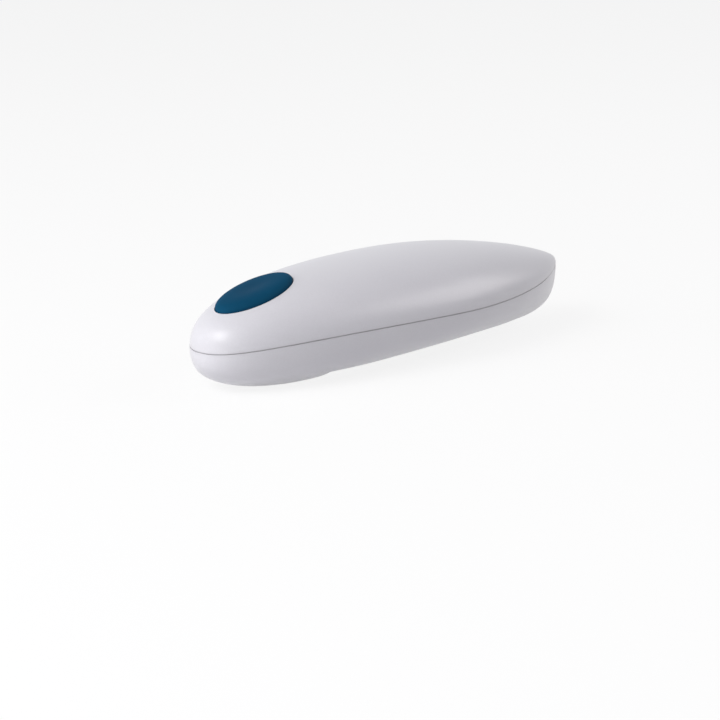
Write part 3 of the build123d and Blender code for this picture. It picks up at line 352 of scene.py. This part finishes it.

# %% [markdown]
# ### Petrol-blue button plastic
# The button is a darker, slightly grainier moulding. Finger use polishes its middle, so roughness
# falls there. The tint is paler towards the rim. Both follow an oval distance from the middle,
# which needs no painted map. A spark-eroded grain shows as a fine bump all over.

# %% Blue button plastic
button_x, button_half_length, button_half_width = -71.4 * mm, 17.7 * mm, 10.2 * mm
deep_blue, cloudy_blue = (0.0025, 0.038, 0.084), (0.0046, 0.053, 0.110)
rim_blue, rim_share = (0.006, 0.070, 0.138), 0.30


def blue_plastic():
    paint = Finish("blue_plastic")
    x, y = paint.axes(paint.place, "XY")
    reach = (((x - button_x) / button_half_length) ** 2.0 + (y / button_half_width) ** 2.0) ** 0.5
    rim = paint.ramp(reach, [(0.25, 0.0), (1.0, 1.0)])
    cloud = paint.noise(scale=60.0)
    grain = paint.noise(scale=1900.0, detail=2.0)
    tint = paint.blend(cloud, deep_blue, cloudy_blue)
    tint = paint.blend(rim * rim_share, tint, rim_blue)
    paint.set(Base_Color=tint, Roughness=0.52 + 0.12 * rim + 0.08 * cloud, Specular_IOR_Level=0.03)
    return paint.bump(grain, strength=0.18, depth=0.03 * mm).material


finishes["blue_plastic"] = blue_plastic()
print("blue nodes", len(finishes["blue_plastic"].node_tree.nodes))

# %% [markdown]
# ### Metals
# Drawn and ground steel, nickel plate, sintered bronze and the pressed motor body differ in tint,
# roughness and the direction of their scratches. A picture of scratches would need a map on every
# piece, so one recipe stretches noise along the scratches and takes the rest as its inputs.


# %% Metal recipe
def metal(name, tint, stained, rough, stretch, scratch_scale, dents=0.0):
    paint = Finish(name)
    scratch = paint.noise(scratch_scale, detail=4.0, stretch=stretch)
    stain = paint.noise(scale=90.0)
    spots = paint.ramp(paint.noise(scale=520.0, detail=2.0), [(0.55, 0.0), (0.72, 1.0)])
    colour = paint.blend(0.55 * stain + 0.25 * scratch, tint, stained)
    paint.set(Base_Color=colour, Metallic=1.0,
              Roughness=rough + 0.14 * scratch + 0.10 * spots * stain)
    return paint.bump(scratch + dents * spots, strength=0.20, depth=0.02 * mm).material


# Tint, stained tint, roughness, stretch and scale of the scratches, dents.
metals = {
    "steel": ((0.62, 0.62, 0.63), (0.44, 0.44, 0.46), 0.24, (60.0, 1.0, 60.0), 30.0),
    "hard_steel": ((0.56, 0.56, 0.58), (0.34, 0.34, 0.36), 0.20, (1.0, 1.0, 90.0), 60.0),
    "screw_steel": ((0.50, 0.50, 0.51), (0.30, 0.29, 0.28), 0.30, (1.0, 1.0, 30.0), 120.0, 0.5),
    "nickel": ((0.70, 0.68, 0.64), (0.52, 0.50, 0.46), 0.18, (1.0, 1.0, 1.0), 160.0),
    "bronze": ((0.56, 0.36, 0.18), (0.34, 0.21, 0.10), 0.36, (1.0, 1.0, 1.0), 800.0, 0.7),
    "motor_steel": ((0.60, 0.61, 0.62), (0.46, 0.46, 0.47), 0.28, (1.0, 40.0, 40.0), 40.0),
}
for name, recipe in metals.items():
    finishes[name] = metal(name, *recipe)
print("metals", len(metals))

# %% [markdown]
# ### Plain mouldings and wires
# Gears, gearbox plates, the switch and the leads sit inside, and show when the cover is open or
# the case is taken apart. They are alike but for their colour and grain, so they share a recipe: a
# pigment that clouds a little, some dust, and the grain in the bump.

# %% Moulded plastic recipe
dust_brown = (0.42, 0.40, 0.37)


def moulding(name, tint, clouded, rough, grain_scale, grain=0.12):
    paint = Finish(name)
    cloud = paint.noise(scale=110.0)
    fine = paint.noise(grain_scale, detail=2.0)
    dust = paint.ramp(paint.noise(scale=340.0, detail=4.0), [(0.52, 0.0), (0.80, 1.0)])
    colour = paint.blend(cloud, tint, clouded)
    colour = paint.blend(0.12 * dust, colour, dust_brown)
    paint.set(Base_Color=colour, Roughness=rough + 0.12 * cloud + 0.10 * dust)
    return paint.bump(fine, strength=grain, depth=0.03 * mm).material


# Tint, clouded tint, roughness, scale of the grain, its strength.
mouldings = {
    "white_nylon": ((0.74, 0.72, 0.66), (0.66, 0.64, 0.57), 0.40, 900.0),
    "grey_plastic": ((0.060, 0.064, 0.072), (0.090, 0.094, 0.102), 0.46, 1400.0, 0.2),
    "black_plastic": ((0.012, 0.012, 0.013), (0.022, 0.022, 0.024), 0.42, 1500.0, 0.2),
    "red_plastic": ((0.42, 0.018, 0.014), (0.50, 0.030, 0.022), 0.36, 1200.0),
    "wire_black": ((0.010, 0.010, 0.011), (0.018, 0.018, 0.019), 0.44, 1200.0),
    "wire_red": ((0.36, 0.012, 0.012), (0.42, 0.020, 0.018), 0.44, 1200.0),
}
for name, recipe in mouldings.items():
    finishes[name] = moulding(name, *recipe)
print("mouldings", len(mouldings))

# %% [markdown]
# ### Circuit board and cells
# The board is glass cloth under green lacquer, with copper tracks that show through. A brick
# pattern is near enough to such tracks, and it raises them in the bump too. The cells wear a
# glossy printed wrap with a silver band at each end, which follows from the place along the cell.

# %% Board and cell wrap
track_scale, track_width = 260.0, 0.05
lacquer, track_green = (0.016, 0.120, 0.050), (0.050, 0.230, 0.095)
cell_middle, cell_half_length = 37.0 * mm, 25.0 * mm
wrap_black, band_silver = (0.030, 0.034, 0.042), (0.33, 0.35, 0.37)


def board_green():
    paint = Finish("green_board")
    tracks = paint.node("ShaderNodeTexBrick", {"offset": 0.37, "squash": 1.0},
                        {"Vector": paint.place, "Scale": track_scale, "Mortar Size": track_width,
                         "Color1": (0.0, 0.0, 0.0, 1.0), "Color2": (0.2, 0.2, 0.2, 1.0),
                         "Mortar": (1.0, 1.0, 1.0, 1.0)}, give="Color")
    share = paint.node("ShaderNodeSeparateColor", None, {"Color": tracks}, give="Red")
    cloud = paint.noise(scale=120.0)
    colour = paint.blend(share * 0.5, lacquer, track_green)
    paint.set(Base_Color=colour, Roughness=0.30 + 0.10 * cloud, Coat_Weight=0.3)
    return paint.bump(share, strength=0.20, depth=0.04 * mm).material


def cell_wrap():
    paint = Finish("cell_wrap")
    x = paint.axes(paint.place, "X")[0]
    cloud = paint.noise(scale=70.0)
    band = paint.ramp(abs(x - cell_middle) / cell_half_length,
                      [(0.0, 0.0), (0.70, 0.0), (0.72, 1.0), (1.0, 1.0)])
    colour = paint.blend(band, wrap_black, band_silver)
    paint.set(Base_Color=colour, Roughness=0.24 + 0.10 * cloud, Metallic=0.35, Coat_Weight=0.4)
    return paint.bump(paint.noise(scale=420.0), strength=0.05, depth=0.02 * mm).material


finishes["green_board"] = board_green()
finishes["cell_wrap"] = cell_wrap()
print("finishes", len(finishes))

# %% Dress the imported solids
for part in frame["record"]["subparts"]:
    node = frame["nodes"][part["node"]]
    node.data.materials.clear()
    node.data.materials.append(finishes[part["material_slot"]])

# %% [markdown]
# ## Studio
# A plain pale sheet lies under the opener, and four soft boxes light it. A wide one on the left
# gives the plain light. Seen from the tail it would mirror in the whole crown and wash it out, so
# shiny surfaces don't see it, and a small box beside it draws the white highlight on the nose. A
# box on the right draws the pale band along the side, and a weak one hangs overhead. The camera
# sees the sheet a little whiter than it is, while its shadow stays.


# %% Floor
def clear_view(board):
    """One where the camera looks, straight or by a shiny or clear piece, and nought elsewhere."""
    path = board.node("ShaderNodeLightPath", give="Is Camera Ray")
    return at_most_one(path + path.other("Is Glossy Ray") + path.other("Is Transmission Ray"))


floor_reach, floor_gap, seen_white = 3.0, 0.2 * mm, 0.86
floor_mesh = bpy.data.meshes.new("studio_floor")
floor_mesh.from_pydata([(-floor_reach, -floor_reach, 0), (floor_reach, -floor_reach, 0),
                        (floor_reach, floor_reach, 0), (-floor_reach, floor_reach, 0)],
                       [], [(0, 1, 2, 3)])
floor = bpy.data.objects.new("studio_floor", floor_mesh)
scene.collection.objects.link(floor)
floor.location.z = cad_box[0][2] - floor_gap

paper = Finish("studio_paper")
paper.set(Base_Color=(0.86, 0.86, 0.87, 1.0), Roughness=0.9)
white = paper.node("ShaderNodeEmission", None, {"Color": (1.0, 1.0, 1.0, 1.0), "Strength": 1.0})
sheet = paper.node("ShaderNodeMixShader", None,
                   {0: seen_white * clear_view(paper),
                    1: Wire(paper, paper.shader.outputs["BSDF"]), 2: white})
below = paper.node("ShaderNodeNewGeometry", give="Backfacing")
through = paper.node("ShaderNodeBsdfTransparent")
sheet = paper.node("ShaderNodeMixShader", None, {0: below, 1: sheet, 2: through})
paper.put(paper.tree.nodes["Material Output"].inputs["Surface"], sheet)
floor_mesh.materials.append(paper.material)
print("floor at", round(floor.location.z, 5))

# %% Sky
sky_light = 0.19
world = bpy.data.worlds.new("studio_sky")
scene.world = world
world.use_nodes = True
sky = Board(world.node_tree)
background = world.node_tree.nodes["Background"]
sky.put(background.inputs["Color"], (0.97, 0.98, 1.0, 1.0))
sky.put(background.inputs["Strength"], sky_light + (1 - sky_light) * clear_view(sky))
print("sky light", sky_light)

# %% Soft boxes
light_target = (0.0, 0.0, 0.02)


def soft_box(name, place, size, power, tint=(1.0, 1.0, 1.0)):
    lamp = bpy.data.lights.new(name, "AREA")
    lamp.shape = "RECTANGLE"
    lamp.size, lamp.size_y = size
    lamp.energy = power
    lamp.color = tint
    box = bpy.data.objects.new(name, lamp)
    scene.collection.objects.link(box)
    box.location = place
    aim = Vector(light_target) - Vector(place)
    box.rotation_euler = aim.to_track_quat("-Z", "Y").to_euler()
    return box


key_box = soft_box("key_box", (-1.05, 0.25, 0.70), size=(1.7, 1.4), power=16.5)
key_box.visible_glossy = False
soft_box("nose_box", (-0.98, -0.02, 0.80), size=(0.62, 0.52), power=5.8)
soft_box("fill_box", (0.95, -0.62, 0.63), size=(1.0, 0.6), power=4.6, tint=(1.0, 0.97, 0.97))
soft_box("top_box", (0.25, -0.15, 1.15), size=(0.9, 0.9), power=0.4, tint=(1.0, 0.93, 0.93))
scene.view_settings.view_transform = "Standard"
print("lamps", len(bpy.data.lights))

# %% [markdown]
# ## Geometry trees
# A geometry tree gets its sizes as named inputs. The helper below makes the tree, sets each input
# by the identifier of its socket, lets Blender work the tree out, and keeps the plain mesh.


# %% Geometry tree helper
class Maker(Board):
    kinds = {float: "NodeSocketFloat", int: "NodeSocketInt",
             bpy.types.Material: "NodeSocketMaterial"}

    def __init__(self, name, inputs):
        super().__init__(bpy.data.node_groups.new(name, "GeometryNodeTree"))
        face = self.tree.interface
        face.new_socket("Geometry", in_out="INPUT", socket_type="NodeSocketGeometry")
        face.new_socket("Geometry", in_out="OUTPUT", socket_type="NodeSocketGeometry")
        self.inputs = inputs
        self.names = {}
        for label, value in inputs.items():
            made = face.new_socket(label, in_out="INPUT", socket_type=self.kinds[type(value)])
            self.names[label] = made.identifier
        self.start = self.tree.nodes.new("NodeGroupInput")
        self.geometry = self.given("Geometry")

    def given(self, label):
        return Wire(self, self.start.outputs[label])

    def close(self, geometry):
        real = self.node("GeometryNodeRealizeInstances", None, {"Geometry": geometry})
        dressed = self.node("GeometryNodeSetMaterial", None,
                            {"Geometry": real, "Material": self.given("Finish")})
        end = self.tree.nodes.new("NodeGroupOutput")
        self.put(end.inputs["Geometry"], dressed)

    def build(self, name, start_mesh):
        piece = bpy.data.objects.new(name, start_mesh)
        scene.collection.objects.link(piece)
        step = piece.modifiers.new("tree", "NODES")
        step.node_group = self.tree
        for label, value in self.inputs.items():
            step[self.names[label]] = value
        graph = bpy.context.evaluated_depsgraph_get()
        mesh = bpy.data.meshes.new_from_object(piece.evaluated_get(graph), depsgraph=graph)
        piece.modifiers.remove(step)
        piece.data = mesh
        mesh.name = name
        return piece


def ring_mesh(name, rings, closed_middle=False):
    """Quads between rings of the same count; the last ring may close on one middle point."""
    count = len(rings[0])
    points = np.concatenate(rings)
    faces = []
    for row in range(len(rings) - 1):
        for step in range(count):
            after = (step + 1) % count
            faces.append((row * count + step, row * count + after,
                          (row + 1) * count + after, (row + 1) * count + step))
    if closed_middle:
        last, middle_point = (len(rings) - 1) * count, len(points)
        points = np.concatenate([points, [np.mean(rings[-1], axis=0)]])
        faces += [(last + step, last + (step + 1) % count, middle_point) for step in range(count)]
    mesh = bpy.data.meshes.new(name)
    mesh.from_pydata([tuple(p) for p in points], [], faces)
    return mesh


print("tree helper ready")

# %% [markdown]
# ## Upper shell
# The real upper shell is one moulding with an oval hole for the button. A grid cut by a boolean
# would leave ragged faces round the hole, so the plan is drawn as rings that start at the hole and
# end at the parting line. The geometry tree raises each point by the rule, and Solidify and Bevel
# give the wall and its rounded edges. The crown meets the parting line at a low angle in the tail,
# so the wall thins towards its rim there, to stay inside the lower shell.

# %% Plan of the upper shell
button_tilt = math.radians(14.0)
button_half = np.array([button_half_length, button_half_width])
button_gap = 0.35 * mm
button_up = np.array([-math.sin(button_tilt), 0.0, math.cos(button_tilt)])
button_along = np.array([math.cos(button_tilt), 0.0, math.sin(button_tilt)])
button_top = np.array([button_x, 0.0, float(crown_height(button_x, 0.0))])
landing_rounds, landing_step = 24, 0.7


def on_crown(along, across):
    """Where lines along the button's stroke, at a place in its own plane, meet the crown."""
    foot = button_top + np.outer(along, button_along) + np.outer(across, (0.0, 1.0, 0.0))
    lift = np.zeros(len(along))
    for _ in range(landing_rounds):
        here = foot + np.outer(lift, button_up)
        lift -= landing_step * (here[:, 2] - crown_height(here[:, 0], here[:, 1]))
    return foot + np.outer(lift, button_up)


around, rows, crowding, rim_reach = 320, 96, 2.4, 0.99995
plan_turn = (np.arange(around) + 0.5) * 2 * math.pi / around
hole_half = button_half + button_gap
hole = on_crown(hole_half[0] * np.cos(plan_turn), hole_half[1] * np.sin(plan_turn))
rim_x = half_length * rim_reach * np.cos(plan_turn)
rim_y = width_rule(rim_x / half_length, sizes) * np.sign(np.sin(plan_turn))
plan = []
for share in 1 - (1 - np.linspace(0.0, 1.0, rows)) ** crowding:
    plan.append(np.stack([hole[:, 0] + (rim_x - hole[:, 0]) * share,
                          hole[:, 1] + (rim_y - hole[:, 1]) * share, np.zeros(around)], axis=1))
plan_mesh = ring_mesh("upper_plan", plan)
print("plan points", len(plan_mesh.vertices))

# %% Raise the plan into the shell
raise_tree = Maker("raise_upper_shell", {**sizes, "Finish": finishes["pearl_plastic"]})
shell_sizes = {label: raise_tree.given(label) for label in sizes}
spot_x, spot_y = raise_tree.axes(raise_tree.node("GeometryNodeInputPosition"), "XY")
lowest = parting_rule(spot_x / shell_sizes["Half Length"], shell_sizes) + shell_sizes["Parting Gap"]
height = upper_height(spot_x, spot_y, shell_sizes).maths("MAXIMUM", lowest)
skin = raise_tree.node("GeometryNodeSetPosition", None,
                       {"Geometry": raise_tree.geometry,
                        "Position": raise_tree.vector(X=spot_x, Y=spot_y, Z=height)})
skin = raise_tree.node("GeometryNodeSetShadeSmooth", None, {"Geometry": skin})
raise_tree.close(skin)
upper_shell = raise_tree.build("upper_shell", plan_mesh)
print("upper shell", len(upper_shell.data.polygons), "faces")

# %% Outward faces and edges to round
weld_reach, hole_reach, hole_weight, rim_weight = 0.002 * mm, 19.0 * mm, 1.0, 0.45


def face_out(mesh, weld=False, close=False):
    """Points the faces outwards, after a weld of double points or a face over the open edges."""
    work = bmesh.new()
    work.from_mesh(mesh)
    if weld:
        bmesh.ops.remove_doubles(work, verts=work.verts, dist=weld_reach)
    if close:
        open_edges = [line for line in work.edges if line.is_boundary]
        bmesh.ops.contextual_create(work, geom=open_edges)
    bmesh.ops.recalc_face_normals(work, faces=work.faces)
    work.to_mesh(mesh)
    work.free()


shell_mesh = upper_shell.data
face_out(shell_mesh, weld=True)
if shell_mesh.polygons[0].normal.z < 0:
    shell_mesh.flip_normals()
weights = shell_mesh.attributes.new("bevel_weight_edge", "FLOAT", "EDGE")
uses = Counter(key for face in shell_mesh.polygons for key in face.edge_keys)
open_edges = [line for line in shell_mesh.edges if uses[line.key] == 1]
for line in open_edges:
    reach = (shell_mesh.vertices[line.vertices[0]].co - Vector(button_top)).length
    weights.data[line.index].value = hole_weight if reach < hole_reach else rim_weight
print("open edges", len(open_edges))

# %% Wall and rounded edges of the upper shell
taper_start, taper_end, taper_height, thin_share = 0.50, 0.65, 4.0 * mm, 0.06
wall_depth, edge_width = 1.9 * mm, 0.5 * mm
depth = upper_shell.vertex_groups.new(name="wall_depth")
for point in shell_mesh.vertices:
    place = point.co.x / half_length
    tail = min(max((place - taper_start) / (taper_end - taper_start), 0.0), 1.0)
    above = (point.co.z - parting_rule(place, sizes)) / taper_height
    depth.add([point.index], 1 - tail * (1 - min(max(above, thin_share), 1.0)), "REPLACE")
wall = upper_shell.modifiers.new("wall", "SOLIDIFY")
wall.thickness = wall_depth
wall.offset = -1.0
wall.vertex_group = depth.name
edges = upper_shell.modifiers.new("edges", "BEVEL")
edges.limit_method = "WEIGHT"
edges.width = edge_width
edges.segments = 3
edges.harden_normals = True
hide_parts("upper_case")
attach(upper_shell, "case")
print("wall", wall.thickness)

# %% [markdown]
# ## Button
# The button follows the crown, stands two millimetres proud of it and is dished a little for the
# fingertip. A squashed ball would not follow the crown, so it is a hollow cap made of rings in the
# button's own tilted plane. They start at the boss that pushes the switch, run out over the ceiling
# and down the inside of the skirt, then up the outside and over the round shoulder, and end as
# smaller and smaller ovals across the dish.

# %% Rings of the button
button_proud, dish_depth, skirt_depth, skirt_wall = 2.0 * mm, 0.6 * mm, 6.0 * mm, 1.6 * mm
shoulder, shoulder_drop = 3.0 * mm, 1.7 * mm
boss_half, boss_depth, ceiling_depth = np.full(2, 2.0 * mm), 7.0 * mm, 1.8 * mm
inside_half = button_half - skirt_wall
cap_points, ceiling_rows, shoulder_rows, dish_rows = 160, 9, 11, 30
cap_turn = np.linspace(0.0, 2 * math.pi, cap_points, endpoint=False)


def cap_ring(half_sizes, sink):
    """One oval of the cap at a depth below its top, laid on the crown."""
    oval = on_crown(half_sizes[0] * np.cos(cap_turn), half_sizes[1] * np.sin(cap_turn))
    return oval + button_up * (button_proud - sink)


cap_rings = [cap_ring(boss_half, boss_depth)]
for share in np.linspace(0.0, 1.0, ceiling_rows):
    cap_rings.append(cap_ring(boss_half + (inside_half - boss_half) * share, ceiling_depth))
cap_rings += [cap_ring(inside_half, skirt_depth), cap_ring(button_half, skirt_depth)]
for corner in np.linspace(0.0, math.pi / 2, shoulder_rows):
    cap_rings.append(cap_ring(button_half - shoulder * (1 - math.cos(corner)),
                              shoulder_drop * (1 - math.sin(corner))))
for share in np.linspace(0.0, 1.0, dish_rows)[1:-1]:
    hollow = dish_depth * (0.5 - 0.5 * math.cos(math.pi * share))
    cap_rings.append(cap_ring((button_half - shoulder) * (1 - share), hollow))
print("button rings", len(cap_rings))

# %% Button cap
sharp_corner = math.radians(40.0)
cap_mesh = ring_mesh("button", cap_rings, closed_middle=True)
face_out(cap_mesh, close=True)
for face in cap_mesh.polygons:
    face.use_smooth = True
cap_mesh.set_sharp_from_angle(angle=sharp_corner)
cap_mesh.materials.append(finishes["blue_plastic"])
button = bpy.data.objects.new("button", cap_mesh)
scene.collection.objects.link(button)
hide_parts("button_cap")
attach(button, "button")
print("button faces", len(cap_mesh.polygons))

# %% [markdown]
# ## Button spring
# The spring stands on the board round the switch and pushes the button out. The imported spring is
# one stiff solid that the pressed button would meet; this one stands for it. The geometry tree
# winds it, as a round wire along a spiral.

# %% Wind the button spring
board_depth, button_travel, spring_length = 11.6 * mm, 2.0 * mm, 11.4 * mm
turn_steps, wire_sides = 48, 12
spring_foot = button_top - button_up * board_depth
spring_sizes = {"Turns": 5.0, "Coil Radius": 5.2 * mm, "Wire Radius": 0.35 * mm,
                "Length": spring_length, "Foot Gap": 0.05 * mm, "Finish": finishes["steel"]}
spring_tree = Maker("button_spring_coil", spring_sizes)
wire_radius, coil_radius = spring_tree.given("Wire Radius"), spring_tree.given("Coil Radius")
foot_gap = spring_tree.given("Foot Gap")
spiral = spring_tree.node("GeometryNodeCurveSpiral", None,
                          {"Resolution": turn_steps, "Rotations": spring_tree.given("Turns"),
                           "Start Radius": coil_radius, "End Radius": coil_radius,
                           "Height": spring_tree.given("Length") - foot_gap - 2 * wire_radius})
section = spring_tree.node("GeometryNodeCurvePrimitiveCircle", {"mode": "RADIUS"},
                           {"Resolution": wire_sides, "Radius": wire_radius})
coil = spring_tree.node("GeometryNodeCurveToMesh", None,
                        {"Curve": spiral, "Profile Curve": section, "Fill Caps": True})
coil = spring_tree.node("GeometryNodeTransform", None,
                        {"Geometry": coil,
                         "Translation": spring_tree.vector(Z=foot_gap + wire_radius)})
coil = spring_tree.node("GeometryNodeTransform", None,
                        {"Geometry": coil, "Translation": tuple(spring_foot),
                         "Rotation": (0.0, -button_tilt, 0.0)})
coil = spring_tree.node("GeometryNodeSetShadeSmooth", None, {"Geometry": coil})
spring_tree.close(coil)
button_spring = spring_tree.build("pressed_spring", bpy.data.meshes.new("pressed_spring"))
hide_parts("button_spring")
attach(button_spring, "case")
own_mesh(button_spring)
print("spring faces", len(button_spring.data.polygons))

# %% [markdown]
# ## Drive wheel
# A hardened wheel grips a rolled seam with the teeth cut all round it. Its hub is a turned ring
# with a seat for the screw, drawn as rings of its profile. A tooth is a small square bar that
# stands with one corner outwards, and the geometry tree puts such a bar on every point of a
# circle, so the count of teeth is one input.

# %% Hub of the drive wheel
wheel_x, wheel_low, wheel_high = -28.9 * mm, 1.7 * mm, 4.1 * mm
tip_radius, tooth_depth, edge_break = 6.0 * mm, 0.55 * mm, 0.12 * mm
bore_radius, seat_radius, seat_height = 2.02 * mm, 2.6 * mm, 2.9 * mm
root_radius = tip_radius - tooth_depth
hub_profile = [(bore_radius, wheel_high), (bore_radius, seat_height), (seat_radius, seat_height),
               (seat_radius, wheel_low + edge_break), (seat_radius + edge_break, wheel_low),
               (root_radius - edge_break, wheel_low), (root_radius, wheel_low + edge_break),
               (root_radius, wheel_high - edge_break), (root_radius - edge_break, wheel_high)]
hub_points = 112
hub_turn = np.linspace(0.0, 2 * math.pi, hub_points, endpoint=False)
hub_rings = []
for reach, level in hub_profile + hub_profile[:1]:
    hub_rings.append(np.stack([wheel_x + reach * np.cos(hub_turn), reach * np.sin(hub_turn),
                               np.full(hub_points, level)], axis=1))
hub_mesh = ring_mesh("drive_wheel_hub", hub_rings)
face_out(hub_mesh, weld=True)
print("hub faces", len(hub_mesh.polygons))

# %% Teeth of the drive wheel
bar_share, bar_inset, tooth_break = 2.2, 0.1 * mm, 0.06 * mm
tooth_sizes = {"Teeth": 28, "Tip Radius": tip_radius, "Tooth Depth": tooth_depth,
               "Wheel X": wheel_x, "Low": wheel_low, "High": wheel_high,
               "Finish": finishes["hard_steel"]}
tooth_tree = Maker("drive_wheel_teeth", tooth_sizes)
teeth, low, high = (tooth_tree.given(label) for label in ("Teeth", "Low", "High"))
bar = tooth_tree.given("Tooth Depth") * bar_share
bar_circle = tooth_tree.given("Tip Radius") - bar * math.sqrt(0.5)
tooth = tooth_tree.node("GeometryNodeMeshCube", None,
                        {"Size": tooth_tree.vector(X=bar, Y=bar, Z=high - low - bar_inset)})
circle = tooth_tree.node("GeometryNodeMeshCircle", None, {"Vertices": teeth, "Radius": bar_circle})
centre = tooth_tree.vector(X=tooth_tree.given("Wheel X"), Z=(low + high) * 0.5)
circle = tooth_tree.node("GeometryNodeTransform", None,
                         {"Geometry": circle, "Translation": centre,
                          "Rotation": tooth_tree.vector(Z=math.pi / teeth)})
count = tooth_tree.node("GeometryNodeInputIndex")
aim = tooth_tree.vector(Z=(count + 0.5) * (2 * math.pi) / teeth + math.pi / 4)
ring_of_teeth = tooth_tree.node("GeometryNodeInstanceOnPoints", None,
                                {"Points": circle, "Instance": tooth, "Rotation": aim})
wheel_parts = tooth_tree.node("GeometryNodeJoinGeometry", None, {"Geometry": tooth_tree.geometry})
tooth_tree.put(wheel_parts.socket.node.inputs[0], ring_of_teeth)
tooth_tree.close(wheel_parts)
drive_wheel = tooth_tree.build("toothed_wheel", hub_mesh)
broken_edges = drive_wheel.modifiers.new("broken_edges", "BEVEL")
broken_edges.limit_method = "ANGLE"
broken_edges.width = tooth_break
broken_edges.segments = 2
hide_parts("drive_wheel")
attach(drive_wheel, "spindle")
print("drive wheel faces", len(drive_wheel.data.polygons))

# %% [markdown]
# ## Grip of the battery cover
# The thumb recess of the cover has three low ribs, too fine for the solid. Each is a ball drawn out
# along the recess, because its round ends need no edges to be broken, and the geometry tree sets it
# on the points of a short line.

# %% Ribs in the thumb recess
rib_sizes = {"Ribs": 3, "Pitch": 1.1 * mm, "Rib Half Length": 4.2 * mm, "Rib Radius": 0.4 * mm,
             "Recess X": 12.5 * mm, "Recess Top": 5.2 * mm, "Finish": finishes["pearl_plastic"]}
rib_tree = Maker("cover_grip_ribs", rib_sizes)
ball_sides, ball_rings = 24, 16
ribs, pitch, rib_radius = (rib_tree.given(label) for label in ("Ribs", "Pitch", "Rib Radius"))
first = rib_tree.vector(X=rib_tree.given("Recess X") - (ribs - 1) * pitch * 0.5,
                        Z=rib_tree.given("Recess Top"))
row = rib_tree.node("GeometryNodeMeshLine", None,
                    {"Count": ribs, "Start Location": first, "Offset": rib_tree.vector(X=pitch)})
ball = rib_tree.node("GeometryNodeMeshUVSphere", None,
                     {"Segments": ball_sides, "Rings": ball_rings, "Radius": 1.0})
drawn = rib_tree.vector(X=rib_radius, Y=rib_tree.given("Rib Half Length"), Z=rib_radius)
rib_row = rib_tree.node("GeometryNodeInstanceOnPoints", None,
                        {"Points": row, "Instance": ball, "Scale": drawn})
rib_row = rib_tree.node("GeometryNodeSetShadeSmooth", None, {"Geometry": rib_row})
rib_tree.close(rib_row)
cover_grip = rib_tree.build("cover_grip", bpy.data.meshes.new("cover_grip"))
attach(cover_grip, "cover")
print("grip faces", len(cover_grip.data.polygons))

# %% Sizes of the imported solids
print("cad box", [list(map(float, corner)) for corner in cad_box])
